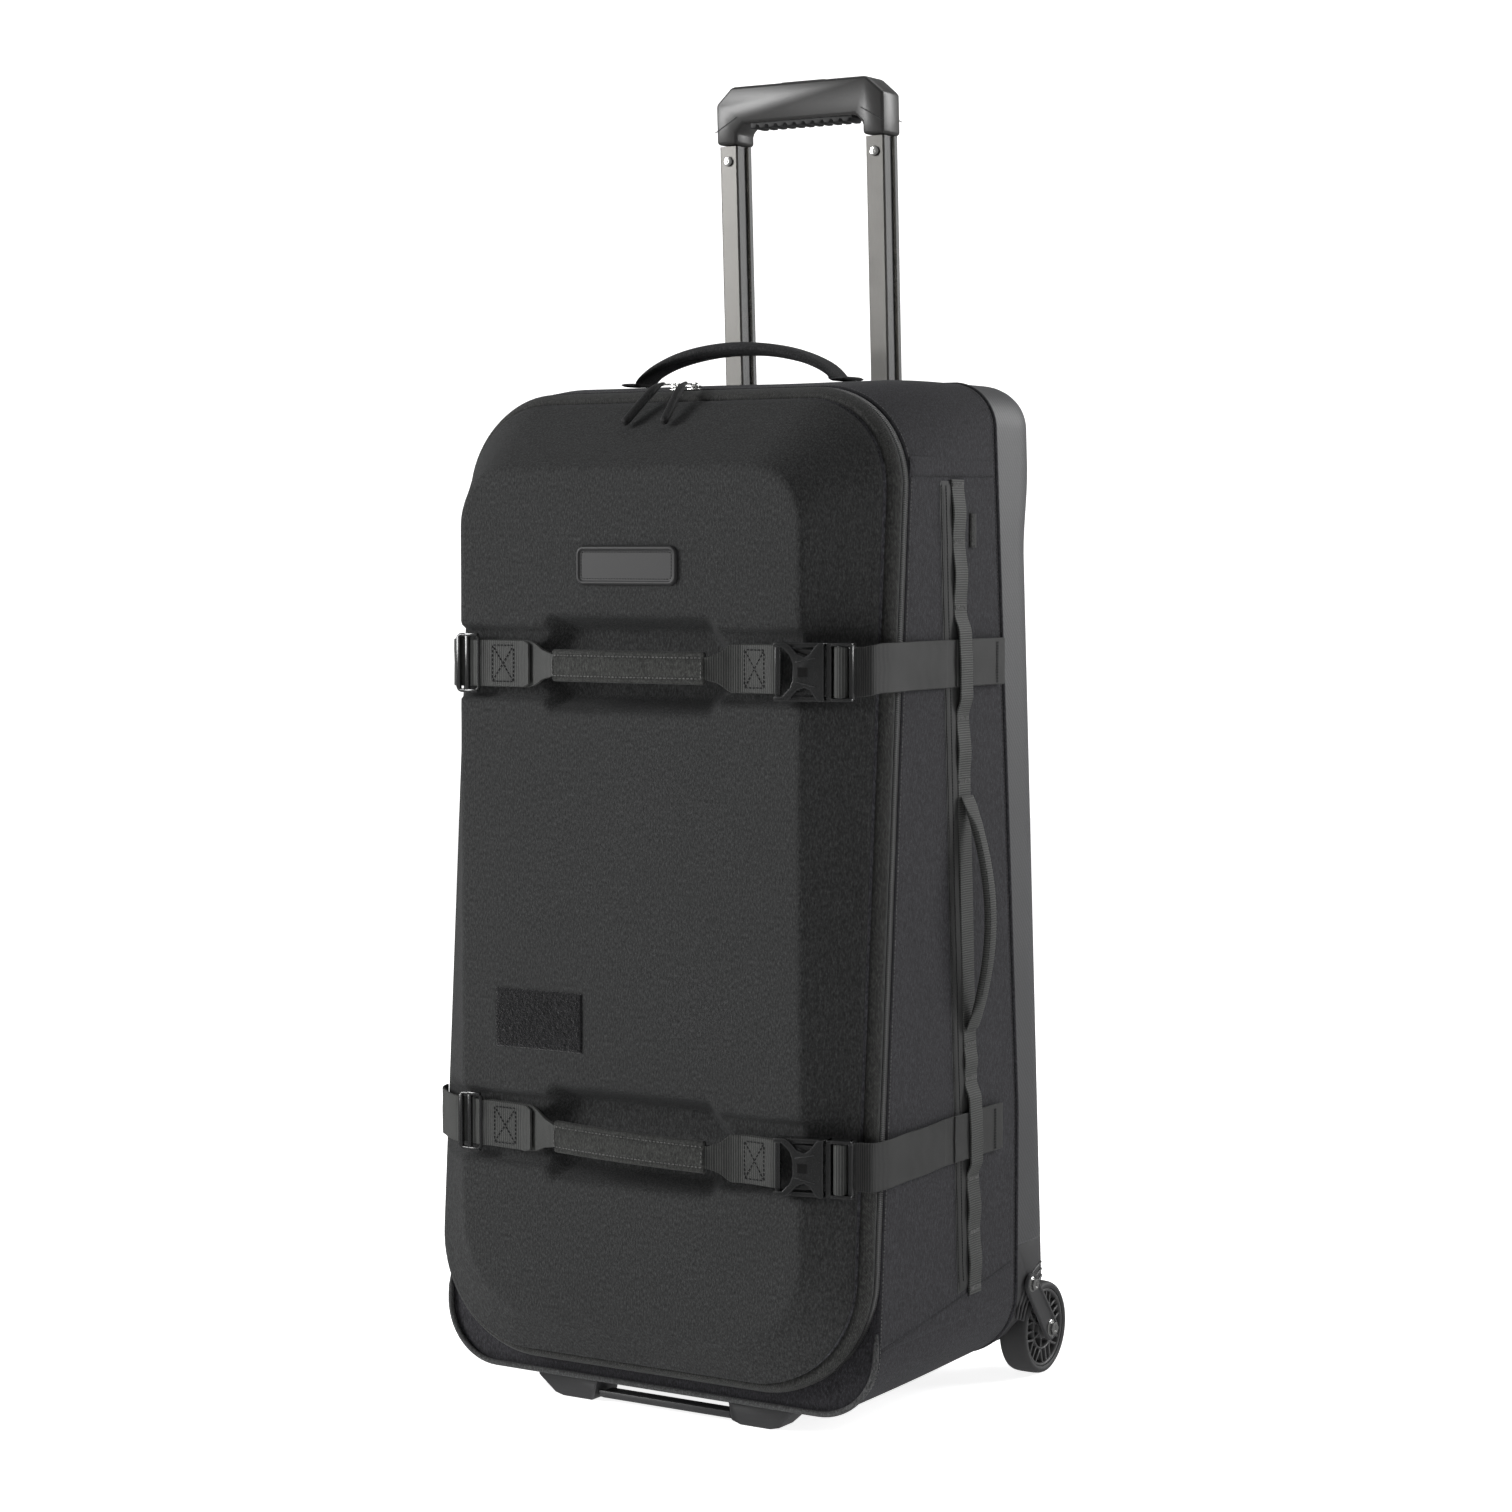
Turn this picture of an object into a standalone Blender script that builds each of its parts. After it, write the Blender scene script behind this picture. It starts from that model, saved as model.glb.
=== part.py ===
"""Wheeled equipment case: moulded front lid, fabric side wall, moulded back shell.

Design frame: X to the right, Y to the back, Z up, floor at Z = 0.  Y = 0 is the
flat front of the lid.  Sizes are written in millimetres and turned into metres
when a mesh is made.  The whole object hangs under one empty, which brings the
origin to the bottom centre of the bounding box.
"""
import math

import bmesh
import bpy
from mathutils import Matrix, Vector

MM = 0.001

# ---------------------------------------------------------------- dimensions
SHIFT_X, SHIFT_Y = -9.5, -173.9      # design frame -> object frame, mm
HALF_W = 205.0                        # half width of the case body
LID_Z0, LID_Z1 = 38.0, 822.0          # lid rim, bottom and top
LID_RT, LID_RB = 80.0, 97.0           # lid rim corner radii, top and bottom
BODY_Z0, BODY_Z1 = 24.0, 824.0        # side wall, bottom and top
BODY_RT, BODY_RB = 80.0, 50.0         # side wall front corner radii
SEAM_RT, SEAM_RB = 36.0, 58.0         # side wall rear corner radii
RIM_Y, RIM_SLOPE = 28.0, 0.068        # the rim plane leans back going up
ZIP_W = 4.7                           # width of one zipper tape
FLAT_X = 158.0                        # half width of the lid's flat front
FLAT_Z0, FLAT_Z1 = 82.0, 758.0        # lid's flat front, bottom and top
LID_T, WALL_T, SHELL_T = 4.0, 3.0, 4.0
UP_Z, LO_Z = 605.0, 229.0             # centre heights of the two straps
WEB_W = 38.0                          # webbing width
TUBE_X, BAR_W, BAR_D = 72.0, 17.5, 24.0
TUBE_Y, TUBE_LEAN = 286.0, -0.045     # bar centre line at Z = 830 and its lean
WHEEL_R, WHEEL_Y, WHEEL_Z = 39.0, 333.0, 39.0
WHEEL_X0, WHEEL_X1 = 177.5, 202.5


def rim_y(z):
    return RIM_Y + RIM_SLOPE * z


def seam_y(z):
    return min(273.0, 241.0 + (643.0 - z) * 0.0785)


TOP_RISE = 6.0                        # the top climbs this much from front to back


def back_y(z):
    """Rear face: a plane that leans forward, with a fuller band near the top."""
    bump = 10.0 * max(0.0, min(1.0, (z - 700.0) / 55.0))
    return 317.0 + (643.0 - z) * 0.064 + bump


def tube_y(z):
    return TUBE_Y + (z - 830.0) * TUBE_LEAN


# ---------------------------------------------------------------- scene set-up
for old in list(bpy.data.objects):
    bpy.data.objects.remove(old)

parts = bpy.data.collections.new("equipment_case")
cutters = bpy.data.collections.new("cutters")
bpy.context.scene.collection.children.link(parts)
bpy.context.scene.collection.children.link(cutters)


def material(name, rgb, rough, metal=0.0):
    m = bpy.data.materials.new(name)
    m.use_nodes = True
    b = m.node_tree.nodes["Principled BSDF"]
    b.inputs["Base Color"].default_value = (*rgb, 1.0)
    b.inputs["Roughness"].default_value = rough
    b.inputs["Metallic"].default_value = metal
    m.diffuse_color = (*rgb, 1.0)
    return m


M_FABRIC = material("fabric", (0.018, 0.018, 0.020), 0.85)
M_WEB = material("webbing", (0.026, 0.027, 0.026), 0.8)
M_SHELL = material("shell", (0.030, 0.030, 0.033), 0.6)
M_PLASTIC = material("plastic", (0.012, 0.012, 0.013), 0.42)
M_SATIN = material("satin_metal", (0.42, 0.41, 0.38), 0.35, 0.9)
M_TUBE = material("tube", (0.10, 0.10, 0.10), 0.35, 0.8)
M_RUBBER = material("rubber", (0.015, 0.015, 0.016), 0.7)
M_TYRE = material("tyre", (0.020, 0.020, 0.021), 0.75)
M_STEEL = material("steel", (0.55, 0.55, 0.55), 0.3, 1.0)
M_LINING = material("lining", (0.08, 0.08, 0.085), 0.85)


def empty(name, x, y, z, parent=None):
    """An empty at a design-frame point, in mm; the point is a pivot."""
    e = bpy.data.objects.new(name, None)
    parts.objects.link(e)
    e["p"] = (x, y, z)
    if parent is None:
        e.location = (SHIFT_X * MM, SHIFT_Y * MM, 0.0)
    else:
        e.parent = parent
        q = parent["p"]
        e.location = ((x - q[0]) * MM, (y - q[1]) * MM, (z - q[2]) * MM)
    return e


CASE = empty("case_frame", 0, 0, 0)
LID = empty("lid_hinge_axis", -HALF_W, rim_y(0) + 5.0, 0, CASE)
HANDLE = empty("handle_axis", 0, TUBE_Y, 830, CASE)
BUTTON = empty("button_axis", 0, tube_y(1084), 1084, HANDLE)
WHEEL_L = empty("wheel_left_axis", -190, WHEEL_Y, WHEEL_Z, CASE)
WHEEL_R_E = empty("wheel_right_axis", 190, WHEEL_Y, WHEEL_Z, CASE)
SLIDE_L = empty("slider_left_axis", -8, rim_y(822) + 4.7, 823, LID)
SLIDE_R = empty("slider_right_axis", 8, rim_y(822) + 4.7, 823, LID)
PULL_L = empty("pull_left_axis", -8, rim_y(822) - 4, 828, SLIDE_L)
PULL_R = empty("pull_right_axis", 8, rim_y(822) - 4, 828, SLIDE_R)


def new_object(name, bm, mat, parent, smooth=True, facing=None):
    """Turns a bmesh in design millimetres into an object under its empty.

    An open surface is flipped if it doesn't face `facing` on the whole."""
    p = Vector(parent["p"])
    bmesh.ops.translate(bm, verts=bm.verts, vec=-p)
    bmesh.ops.scale(bm, verts=bm.verts, vec=(MM, MM, MM))
    bmesh.ops.recalc_face_normals(bm, faces=bm.faces)
    if facing and sum(f.normal.dot(Vector(facing)) * f.calc_area() for f in bm.faces) < 0:
        bmesh.ops.reverse_faces(bm, faces=bm.faces)
    me = bpy.data.meshes.new(name)
    bm.to_mesh(me)
    bm.free()
    if smooth:
        me.shade_smooth()
        me.set_sharp_from_angle(angle=math.radians(35))
    ob = bpy.data.objects.new(name, me)
    parts.objects.link(ob)
    ob.parent = parent
    if mat:
        me.materials.append(mat)
    return ob


def helper(ob):
    """Marks an object as a cutter: it is left out of the model."""
    parts.objects.unlink(ob)
    cutters.objects.link(ob)
    ob.hide_render = True
    ob.display_type = "WIRE"
    return ob


def boolean(ob, cutter, op="DIFFERENCE"):
    m = ob.modifiers.new("cut", "BOOLEAN")
    m.operation = op
    m.solver = "EXACT"
    m.object = cutter
    return ob


def solidify(ob, thick):
    """Solid wall of `thick` mm, grown to the inside of an outward-facing surface."""
    m = ob.modifiers.new("wall", "SOLIDIFY")
    m.thickness = thick * MM
    m.offset = -1.0
    m.use_even_offset = True
    return ob


def bevel(ob, width, segments=2, angle=35):
    m = ob.modifiers.new("edges", "BEVEL")
    m.width = width * MM
    m.segments = segments
    m.limit_method = "ANGLE"
    m.angle_limit = math.radians(angle)
    return ob


def box_bm(x0, x1, y0, y1, z0, z1):
    bm = bmesh.new()
    bmesh.ops.create_cube(bm, size=1.0)
    bmesh.ops.scale(bm, verts=bm.verts, vec=(x1 - x0, y1 - y0, z1 - z0))
    bmesh.ops.translate(bm, verts=bm.verts,
                        vec=((x0 + x1) / 2, (y0 + y1) / 2, (z0 + z1) / 2))
    return bm


def box(name, x0, x1, y0, y1, z0, z1, mat=None, parent=None, edge=0.0, seg=2):
    ob = new_object(name, box_bm(x0, x1, y0, y1, z0, z1), mat, parent or CASE)
    if edge:
        bevel(ob, edge, seg)
    return ob


def cylinder_bm(p0, p1, r, n=24, r2=None):
    """A closed cylinder or cone from p0 to p1."""
    a, b = Vector(p0), Vector(p1)
    bm = bmesh.new()
    bmesh.ops.create_cone(bm, cap_ends=True, segments=n, radius1=r,
                          radius2=r if r2 is None else r2, depth=(b - a).length)
    q = Vector((0, 0, 1)).rotation_difference((b - a).normalized())
    bmesh.ops.rotate(bm, verts=bm.verts, cent=(0, 0, 0), matrix=q.to_matrix())
    bmesh.ops.translate(bm, verts=bm.verts, vec=(a + b) / 2)
    return bm


def join_bm(a, b):
    """Adds bmesh b's geometry to a."""
    me = bpy.data.meshes.new("tmp")
    b.to_mesh(me)
    b.free()
    a.from_mesh(me)
    bpy.data.meshes.remove(me)
    return a


def outline(hw, z0, z1, rt, rb, seg=6):
    """Rounded rectangle in XZ, anticlockwise from the bottom right corner."""
    pts = []
    for cx, cz, r, a0 in ((hw - rb, z0 + rb, rb, -90), (hw - rt, z1 - rt, rt, 0),
                          (-hw + rt, z1 - rt, rt, 90), (-hw + rb, z0 + rb, rb, 180)):
        for k in range(seg + 1):
            a = math.radians(a0 + 90.0 * k / seg)
            pts.append((cx + r * math.cos(a), cz + r * math.sin(a)))
    return pts


def skin(bm, rings, close=False):
    """Joins rings of equal length with quads; close joins the last to the first."""
    rows = [[bm.verts.new(p) for p in ring] for ring in rings]
    n = len(rows[0])
    pairs = list(zip(rows, rows[1:])) + ([(rows[-1], rows[0])] if close else [])
    for r0, r1 in pairs:
        for i in range(n):
            j = (i + 1) % n
            bm.faces.new((r0[i], r0[j], r1[j], r1[i]))
    return rows


def band(name, mat, parent, outer, y0, y1, thick, grow=0.0, steps=1):
    """A closed ring wall: `outer` is outline arguments, y0 and y1 functions of z."""
    hw, z0, z1, rt, rb = outer

    def ring(inset, yf):
        i = inset - grow
        return [(x, yf(z), z) for x, z in
                outline(hw - i, z0 + i, z1 - i, rt - i, rb - i)]

    bm = bmesh.new()
    skin(bm, [ring(0, y0), ring(0, y1), ring(thick, y1), ring(thick, y0)], close=True)
    return new_object(name, bm, mat, parent)


def ribbon(name, mat, parent, path, wide, width, thick):
    """Flat webbing: a rectangular section swept along `path`.

    `wide` is the direction of the width; width is one number or one a point.
    """
    pts = [Vector(p) for p in path]
    w = Vector(wide).normalized()
    widths = width if isinstance(width, (list, tuple)) else [width] * len(pts)
    thicks = thick if isinstance(thick, (list, tuple)) else [thick] * len(pts)
    bm = bmesh.new()
    rows = []
    for i, p in enumerate(pts):
        t0 = (pts[i] - pts[i - 1]).normalized() if i else None
        t1 = (pts[i + 1] - pts[i]).normalized() if i + 1 < len(pts) else None
        n0 = t0.cross(w).normalized() if t0 else None
        n1 = t1.cross(w).normalized() if t1 else None
        n = ((n0 or n1) + (n1 or n0)).normalized()
        k = 1.0 / max(0.5, n.dot(n0 or n1))
        h, t = w * widths[i] / 2, n * thicks[i] / 2 * k
        rows.append([bm.verts.new(p + h + t), bm.verts.new(p - h + t),
                     bm.verts.new(p - h - t), bm.verts.new(p + h - t)])
    for r0, r1 in zip(rows, rows[1:]):
        for i in range(4):
            j = (i + 1) % 4
            bm.faces.new((r0[i], r0[j], r1[j], r1[i]))
    bm.faces.new(rows[0])
    bm.faces.new(list(reversed(rows[-1])))
    return new_object(name, bm, mat, parent, smooth=False)


def tube(name, mat, parent, path, r, cyclic=False, res=1):
    """A cord or piping: a poly curve with a round bevel and filled caps."""
    p = Vector(parent["p"])
    cu = bpy.data.curves.new(name, "CURVE")
    cu.dimensions = "3D"
    cu.bevel_depth = r * MM
    cu.bevel_resolution = res
    cu.use_fill_caps = True
    sp = cu.splines.new("POLY")
    sp.points.add(len(path) - 1)
    for q, s in zip(path, sp.points):
        v = (Vector(q) - p) * MM
        s.co = (v.x, v.y, v.z, 1.0)
    sp.use_cyclic_u = cyclic
    cu.materials.append(mat)
    ob = bpy.data.objects.new(name, cu)
    parts.objects.link(ob)
    ob.parent = parent
    return ob


# ---------------------------------------------------------------- lid shell
HEX_X = 4.0                      # centre of the hand recess


def clamp01(v):
    return max(0.0, min(1.0, v))


def recess(x, z):
    """Depth of the strap channel and of the hand recess behind each grip."""
    d = 0.0
    for zc in (UP_Z, LO_Z):
        h = z - zc
        hexa = (22.0 * min(clamp01((h + 38) / 14), clamp01((42 - h) / 16))
                * clamp01((x - HEX_X + 112) / 40) * clamp01((HEX_X + 112 - x) / 40))
        chan = 8.0 * clamp01((h + 30) / 6) * clamp01((32 - h) / 6)
        d = max(d, hexa, chan)
    return d


LID_IN = 9.0                     # the lid's covering ends this far inside the rim


def rim_point(x, z):
    """The point near the lid's rim that a point on the flat front's border runs to."""
    half_w, z0, z1 = HALF_W - LID_IN, LID_Z0 + LID_IN, LID_Z1 - LID_IN
    rt, rb = LID_RT - LID_IN, LID_RB - LID_IN
    if abs(abs(x) - FLAT_X) < 1e-6:
        s = 1.0 if x > 0 else -1.0
        if z > z1 - rt:
            a = math.radians(45 * (z - (z1 - rt)) / (FLAT_Z1 - (z1 - rt)))
            return (s * (half_w - rt + rt * math.cos(a)),
                    z1 - rt + rt * math.sin(a))
        if z < z0 + rb:
            a = math.radians(45 * (z0 + rb - z) / (z0 + rb - FLAT_Z0))
            return (s * (half_w - rb + rb * math.cos(a)),
                    z0 + rb - rb * math.sin(a))
        return (s * half_w, z)
    top = z > 400
    r = rt if top else rb
    x1 = half_w - r
    if abs(x) <= x1:
        return (x, z1 if top else z0)
    a = math.radians(90 - 45 * (abs(x) - x1) / (FLAT_X - x1))
    cz = z1 - r if top else z0 + r
    return (math.copysign(x1 + r * math.cos(a), x),
            cz + r * math.sin(a) * (1 if top else -1))


def lid_surface():
    offs = (-38, -30, -24, 26, 32, 42)
    xs = [-158, -136, -108, -68, 4, 76, 116, 138, 158]
    zs = ([82, 130] + [LO_Z + o for o in offs] + [330, 470]
          + [UP_Z + o for o in offs] + [700, 758])
    bm = bmesh.new()
    grid = [[bm.verts.new((x, recess(x, z), z)) for x in xs] for z in zs]
    key = {v: (v.co.x, v.co.z) for r in grid for v in r}
    # The flat front's four corners are cut off.
    for v, cut in ((grid[0][0], 18), (grid[0][-1], 18), (grid[-1][0], 13), (grid[-1][-1], 13)):
        v.co.x -= math.copysign(cut, v.co.x)
        v.co.z += cut if v.co.z < 400 else -cut
    for r0, r1 in zip(grid, grid[1:]):
        for i in range(len(xs) - 1):
            bm.faces.new((r0[i], r0[i + 1], r1[i + 1], r1[i]))
    loop = (grid[0] + [r[-1] for r in grid[1:-1]] + list(reversed(grid[-1]))
            + [r[0] for r in reversed(grid[1:-1])])
    prev = loop
    stop = 15.5                       # the shell ends where the edge binding starts
    for s, f in ((0.5, 0.47), (0.85, 0.83), (1.0, 1.0)):
        row = []
        for v in loop:
            x, z = v.co.x, v.co.z
            rx, rz = rim_point(*key[v])
            px, pz = x + (rx - x) * s, z + (rz - z) * s
            y = (rim_y(rz) - stop) * f
            row.append(bm.verts.new((px, max(y, 0) + v.co.y * (1 - s), pz)))
        n = len(loop)
        for i in range(n):
            j = (i + 1) % n
            bm.faces.new((prev[i], prev[j], row[j], row[i]))
        prev = row
    return bm


lid = new_object("lid_shell", lid_surface(), M_FABRIC, LID, facing=(0, -1, 0))
# The lid's surface faces the front, so the wall grows to the back.
solidify(lid, LID_T)

LID_OUT = (HALF_W, LID_Z0, LID_Z1, LID_RT, LID_RB)


def lid_binding():
    """Cloth band round the lid's edge, narrower at its front than at the zipper."""
    rings = []
    for inset, back in ((5.0, 10.0), (-0.8, 0.3), (3.2, 0.3), (8.6, 10.0)):
        rings.append([(x, rim_y(z) - back, z) for x, z in
                      outline(HALF_W - inset, LID_Z0 + inset, LID_Z1 - inset,
                              LID_RT - inset, LID_RB - inset)])
    bm = bmesh.new()
    skin(bm, rings, close=True)
    return bm


new_object("lid_binding", lid_binding(), M_WEB, LID)
band("zipper_tape_lid", M_WEB, LID, LID_OUT, rim_y, lambda z: rim_y(z) + ZIP_W, 1.4,
     grow=-0.6)
band("zipper_tape_body", M_WEB, CASE, LID_OUT, lambda z: rim_y(z) + ZIP_W + 0.3,
     lambda z: rim_y(z) + 2 * ZIP_W + 0.3, 1.4, grow=-0.6)


# ---------------------------------------------------------------- side wall
def wall_y0(z):
    return rim_y(z) + 10.0


BODY_F = (HALF_W, BODY_Z0, BODY_Z1, BODY_RT, BODY_RB)
BODY_R = (HALF_W, BODY_Z0, BODY_Z1, SEAM_RT, SEAM_RB)


def body_outline(t, inset=0.0, crown=0.0):
    """Side wall section, t = 0 at the front and 1 at the rear seam."""
    rt = BODY_RT + (SEAM_RT - BODY_RT) * t - inset
    rb = BODY_RB + (SEAM_RB - BODY_RB) * t - inset
    return outline(HALF_W - inset, BODY_Z0 + inset, BODY_Z1 - inset + crown + TOP_RISE * t,
                   rt, rb)


def gusset():
    rows = []
    steps = (0.0, 0.33, 0.67, 1.0)
    for inset, order in ((0.0, steps), (WALL_T, tuple(reversed(steps)))):
        for t in order:
            crown = 3.0 * math.sin(math.pi * t)
            rows.append([(x, wall_y0(z) + (seam_y(z) - 1.5 - wall_y0(z)) * t, z)
                         for x, z in body_outline(t, inset, crown)])
    bm = bmesh.new()
    skin(bm, rows, close=True)
    return bm


new_object("gusset_wall", gusset(), M_FABRIC, CASE)


def lower_panel():
    """Flat fabric panel that fills between the lid's round lower corners and the
    squarer corners of the case, just inside the front of the side wall."""
    outer = [p for p in outline(HALF_W - WALL_T - 0.4, BODY_Z0 + WALL_T + 0.4, BODY_Z1,
                                40, BODY_RB - 3.4)]
    inner = outline(HALF_W - 12.0, LID_Z0 + 12.0, LID_Z1, 40, LID_RB - 12.0)
    # corners 0 and 3 are the bottom right and bottom left arcs
    right_o, left_o = outer[0:7], outer[21:28]
    right_i, left_i = inner[0:7], inner[21:28]
    top = 135.0
    path_o = [(left_o[0][0], top)] + left_o + right_o + [(right_o[-1][0], top)]
    path_i = [(left_i[0][0], top)] + left_i + right_i + [(right_i[-1][0], top)]
    bm = bmesh.new()
    rows = []
    for path, d in ((path_o, 10.6), (path_o, 14.0), (path_i, 14.0), (path_i, 10.6)):
        rows.append([bm.verts.new((x, rim_y(z) + d, z)) for x, z in path])
    for k in range(4):
        r0, r1 = rows[k], rows[(k + 1) % 4]
        for i in range(len(r0) - 1):
            bm.faces.new((r0[i], r0[i + 1], r1[i + 1], r1[i]))
    bm.faces.new([r[0] for r in rows])
    bm.faces.new([r[-1] for r in reversed(rows)])
    return bm


new_object("front_lower_panel", lower_panel(), M_FABRIC, CASE)


def under_path(hw, z0, rb, top, y_of, seg=6):
    """Open path round the bottom: up the left side, along the bottom, up the right."""
    o = outline(hw, z0, 800, 40, rb, seg)
    pts = [(-hw, top)] + o[3 * (seg + 1):] + o[:seg + 1] + [(hw, top)]
    return [(x, y_of(z), z) for x, z in pts]


tube("front_piping", M_WEB, CASE,
     under_path(HALF_W - 0.2, BODY_Z0 + 0.2, BODY_RB, 92.0, lambda z: rim_y(z) + 7.4), 2.2)
tube("rear_piping", M_WEB, CASE,
     [(x, seam_y(z) + 0.6, z) for x, z in
      outline(HALF_W - 0.6, BODY_Z0 + 0.6, BODY_Z1 + TOP_RISE - 0.6, SEAM_RT, SEAM_RB)], 1.7,
     cyclic=True)

# ---------------------------------------------------------------- back shell
ROUND = 44.0
SIDE_Z = (400.0, 700.0, 756.0)        # extra heights on the straight sides


def shell_rings(grow=0.0, y_start=2.8):
    rings = []
    for phi in (None, 0, 22.5, 45, 67.5, 90):
        inset = 0.0 if phi is None else ROUND * (1 - math.cos(math.radians(phi)))
        ring = []
        flat = outline(HALF_W - inset + grow, BODY_Z0 + inset - grow,
                       BODY_Z1 + TOP_RISE - 0.75 * inset + grow,
                       max(SEAM_RT - inset, 12) + grow, max(SEAM_RB - inset, 18) + grow)
        half = HALF_W - inset + grow
        side = [(half, z) for z in SIDE_Z]
        flat = flat[:7] + side + flat[7:21] + [(-x, z) for x, z in reversed(side)] + flat[21:]
        for x, z in flat:
            deep = back_y(z) - seam_y(z)
            r = min(ROUND, deep - 4.0)
            if phi is None:
                y = seam_y(z) + y_start
            else:
                y = back_y(z) - r * (1 - math.sin(math.radians(phi))) + grow * (phi / 90)
            ring.append((x, y, z))
        rings.append(ring)
    return rings


def cap(bm, row):
    """Closes the last ring with strips that run straight across from side to side."""
    n = len(row) // 2
    right, left = row[:n], list(reversed(row[n:]))
    for i in range(n - 1):
        bm.faces.new((right[i], left[i], left[i + 1], right[i + 1]))


def shell_surface():
    bm = bmesh.new()
    rows = skin(bm, shell_rings())
    cap(bm, rows[-1])
    return bm


shell = new_object("back_shell", shell_surface(), M_SHELL, CASE, facing=(0, 1, 0))
solidify(shell, SHELL_T)


def shell_solid(name):
    """The back shell's outer form as one solid, for trimming the wheel housings."""
    bm = bmesh.new()
    rings = shell_rings()
    flat = [(x, y + 1.0, z) for x, y, z in rings[0]]
    rows = skin(bm, [flat] + rings[1:])
    cap(bm, rows[-1])
    bm.faces.new(list(reversed(rows[0])))
    return helper(new_object(name, bm, None, CASE))


# Wheel wells are cut out of both rear bottom corners.
HOUSE_X, HOUSE_Z = 167.0, 120.0
for s, side in ((1, "right"), (-1, "left")):
    xs = sorted((s * HOUSE_X, s * 260.0))
    well = helper(box(f"well_cut_{side}", xs[0], xs[1], 255, 430, -30, HOUSE_Z))
    boolean(shell, well)

    xs = sorted((s * (HOUSE_X + 0.4), s * 203.6))
    house = box(f"wheel_housing_{side}", xs[0], xs[1], 278.4, 380, 10, HOUSE_Z - 0.4,
                M_PLASTIC)
    boolean(house, shell_solid(f"house_trim_{side}"), "INTERSECT")
    bm = cylinder_bm((s * 173.5, WHEEL_Y, WHEEL_Z), (s * 240, WHEEL_Y, WHEEL_Z), 43.0, 32)
    boolean(house, helper(new_object(f"wheel_cut_{side}", bm, None, CASE)))
    xs = sorted((s * 173.5, s * 240.0))
    boolean(house, helper(box(f"under_cut_{side}", xs[0], xs[1], 296.5, 430, -30, 39.0)))
    bm = cylinder_bm((s * 150, WHEEL_Y, WHEEL_Z), (s * 180, WHEEL_Y, WHEEL_Z), 4.3, 16)
    boolean(house, helper(new_object(f"axle_cut_{side}", bm, None, CASE)))
    bm = cylinder_bm((s * 190, 298, 83), (s * 230, 298, 83), 3.1, 12)
    boolean(house, helper(new_object(f"bolt_cut_{side}", bm, None, CASE)))

# The pull handle's bezel sits in a slot in the top of the shell.
slot = helper(box("bezel_slot", -98.4, 98.4, 262.6, 303.4, 771, 847))
boolean(shell, slot)
bezel = box("handle_bezel", -98, 98, 263, 303, 797, 831.5, M_PLASTIC, edge=3.0)
for s in (1, -1):
    bm = box_bm(s * TUBE_X - 9.2, s * TUBE_X + 9.2, -12.5, 12.5, -60, 60)
    bmesh.ops.rotate(bm, verts=bm.verts, cent=(0, 0, 0),
                     matrix=Matrix.Rotation(math.atan(-TUBE_LEAN), 3, "X"))
    bmesh.ops.translate(bm, verts=bm.verts, vec=(0, tube_y(811), 811))
    boolean(bezel, helper(new_object(f"bar_slot_{s + 1}", bm, None, CASE)))


def lean(bm, z):
    """Turns a bmesh made about the bar's centre line at height z to the bar's lean."""
    bmesh.ops.rotate(bm, verts=bm.verts, cent=(0, tube_y(z), z),
                     matrix=Matrix.Rotation(math.atan(-TUBE_LEAN), 3, "X"))
    return bm


def bar_box(x, hw, hd, z0, z1):
    """A box along the leaning bar line, centred on x."""
    zc = (z0 + z1) / 2
    return lean(box_bm(x - hw, x + hw, tube_y(zc) - hd, tube_y(zc) + hd, z0, z1), zc)


def hollow_bar(name, mat, x, hw, hd, wall, z0, z1):
    """A rectangular tube, open at both ends."""
    bm = bmesh.new()
    rings = []
    for w, z in ((0, z0), (0, z1), (wall, z1), (wall, z0)):
        rings.append([(x - hw + w, tube_y(z) - hd + w, z), (x + hw - w, tube_y(z) - hd + w, z),
                      (x + hw - w, tube_y(z) + hd - w, z), (x - hw + w, tube_y(z) + hd - w, z)])
    skin(bm, rings, close=True)
    return new_object(name, bm, mat, CASE, smooth=False)


for s, side in ((-1, "left"), (1, "right")):
    hollow_bar(f"outer_tube_{side}", M_TUBE, s * TUBE_X, 10.8, 13.6, 1.2, 96.0, 796.6)
bm = box_bm(-95, 95, 300, 342, 70, 95.4)
bracket = bevel(new_object("tube_bottom_bracket", bm, M_PLASTIC, CASE), 3.0)

# Inner panel that covers the tubes, leaning with them.
bm = box_bm(-185, 185, -1.2, 1.2, -325, 325)
bmesh.ops.rotate(bm, verts=bm.verts, cent=(0, 0, 0),
                 matrix=Matrix.Rotation(math.atan(-TUBE_LEAN), 3, "X"))
bmesh.ops.translate(bm, verts=bm.verts, vec=(0, tube_y(450) - 16.5, 450))
new_object("lining_panel", bm, M_LINING, CASE)

# Trim plate on the rear top edge of the shell, behind the bezel.
bm = box_bm(-150, 150, -1.2, 1.2, -9, 9)
bmesh.ops.rotate(bm, verts=bm.verts, cent=(0, 0, 0),
                 matrix=Matrix.Rotation(math.radians(10), 3, "X"))
bmesh.ops.translate(bm, verts=bm.verts, vec=(0, back_y(797) + 1.8, 797.0))
bevel(new_object("rear_top_trim", bm, M_PLASTIC, CASE), 0.8, 1)

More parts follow.
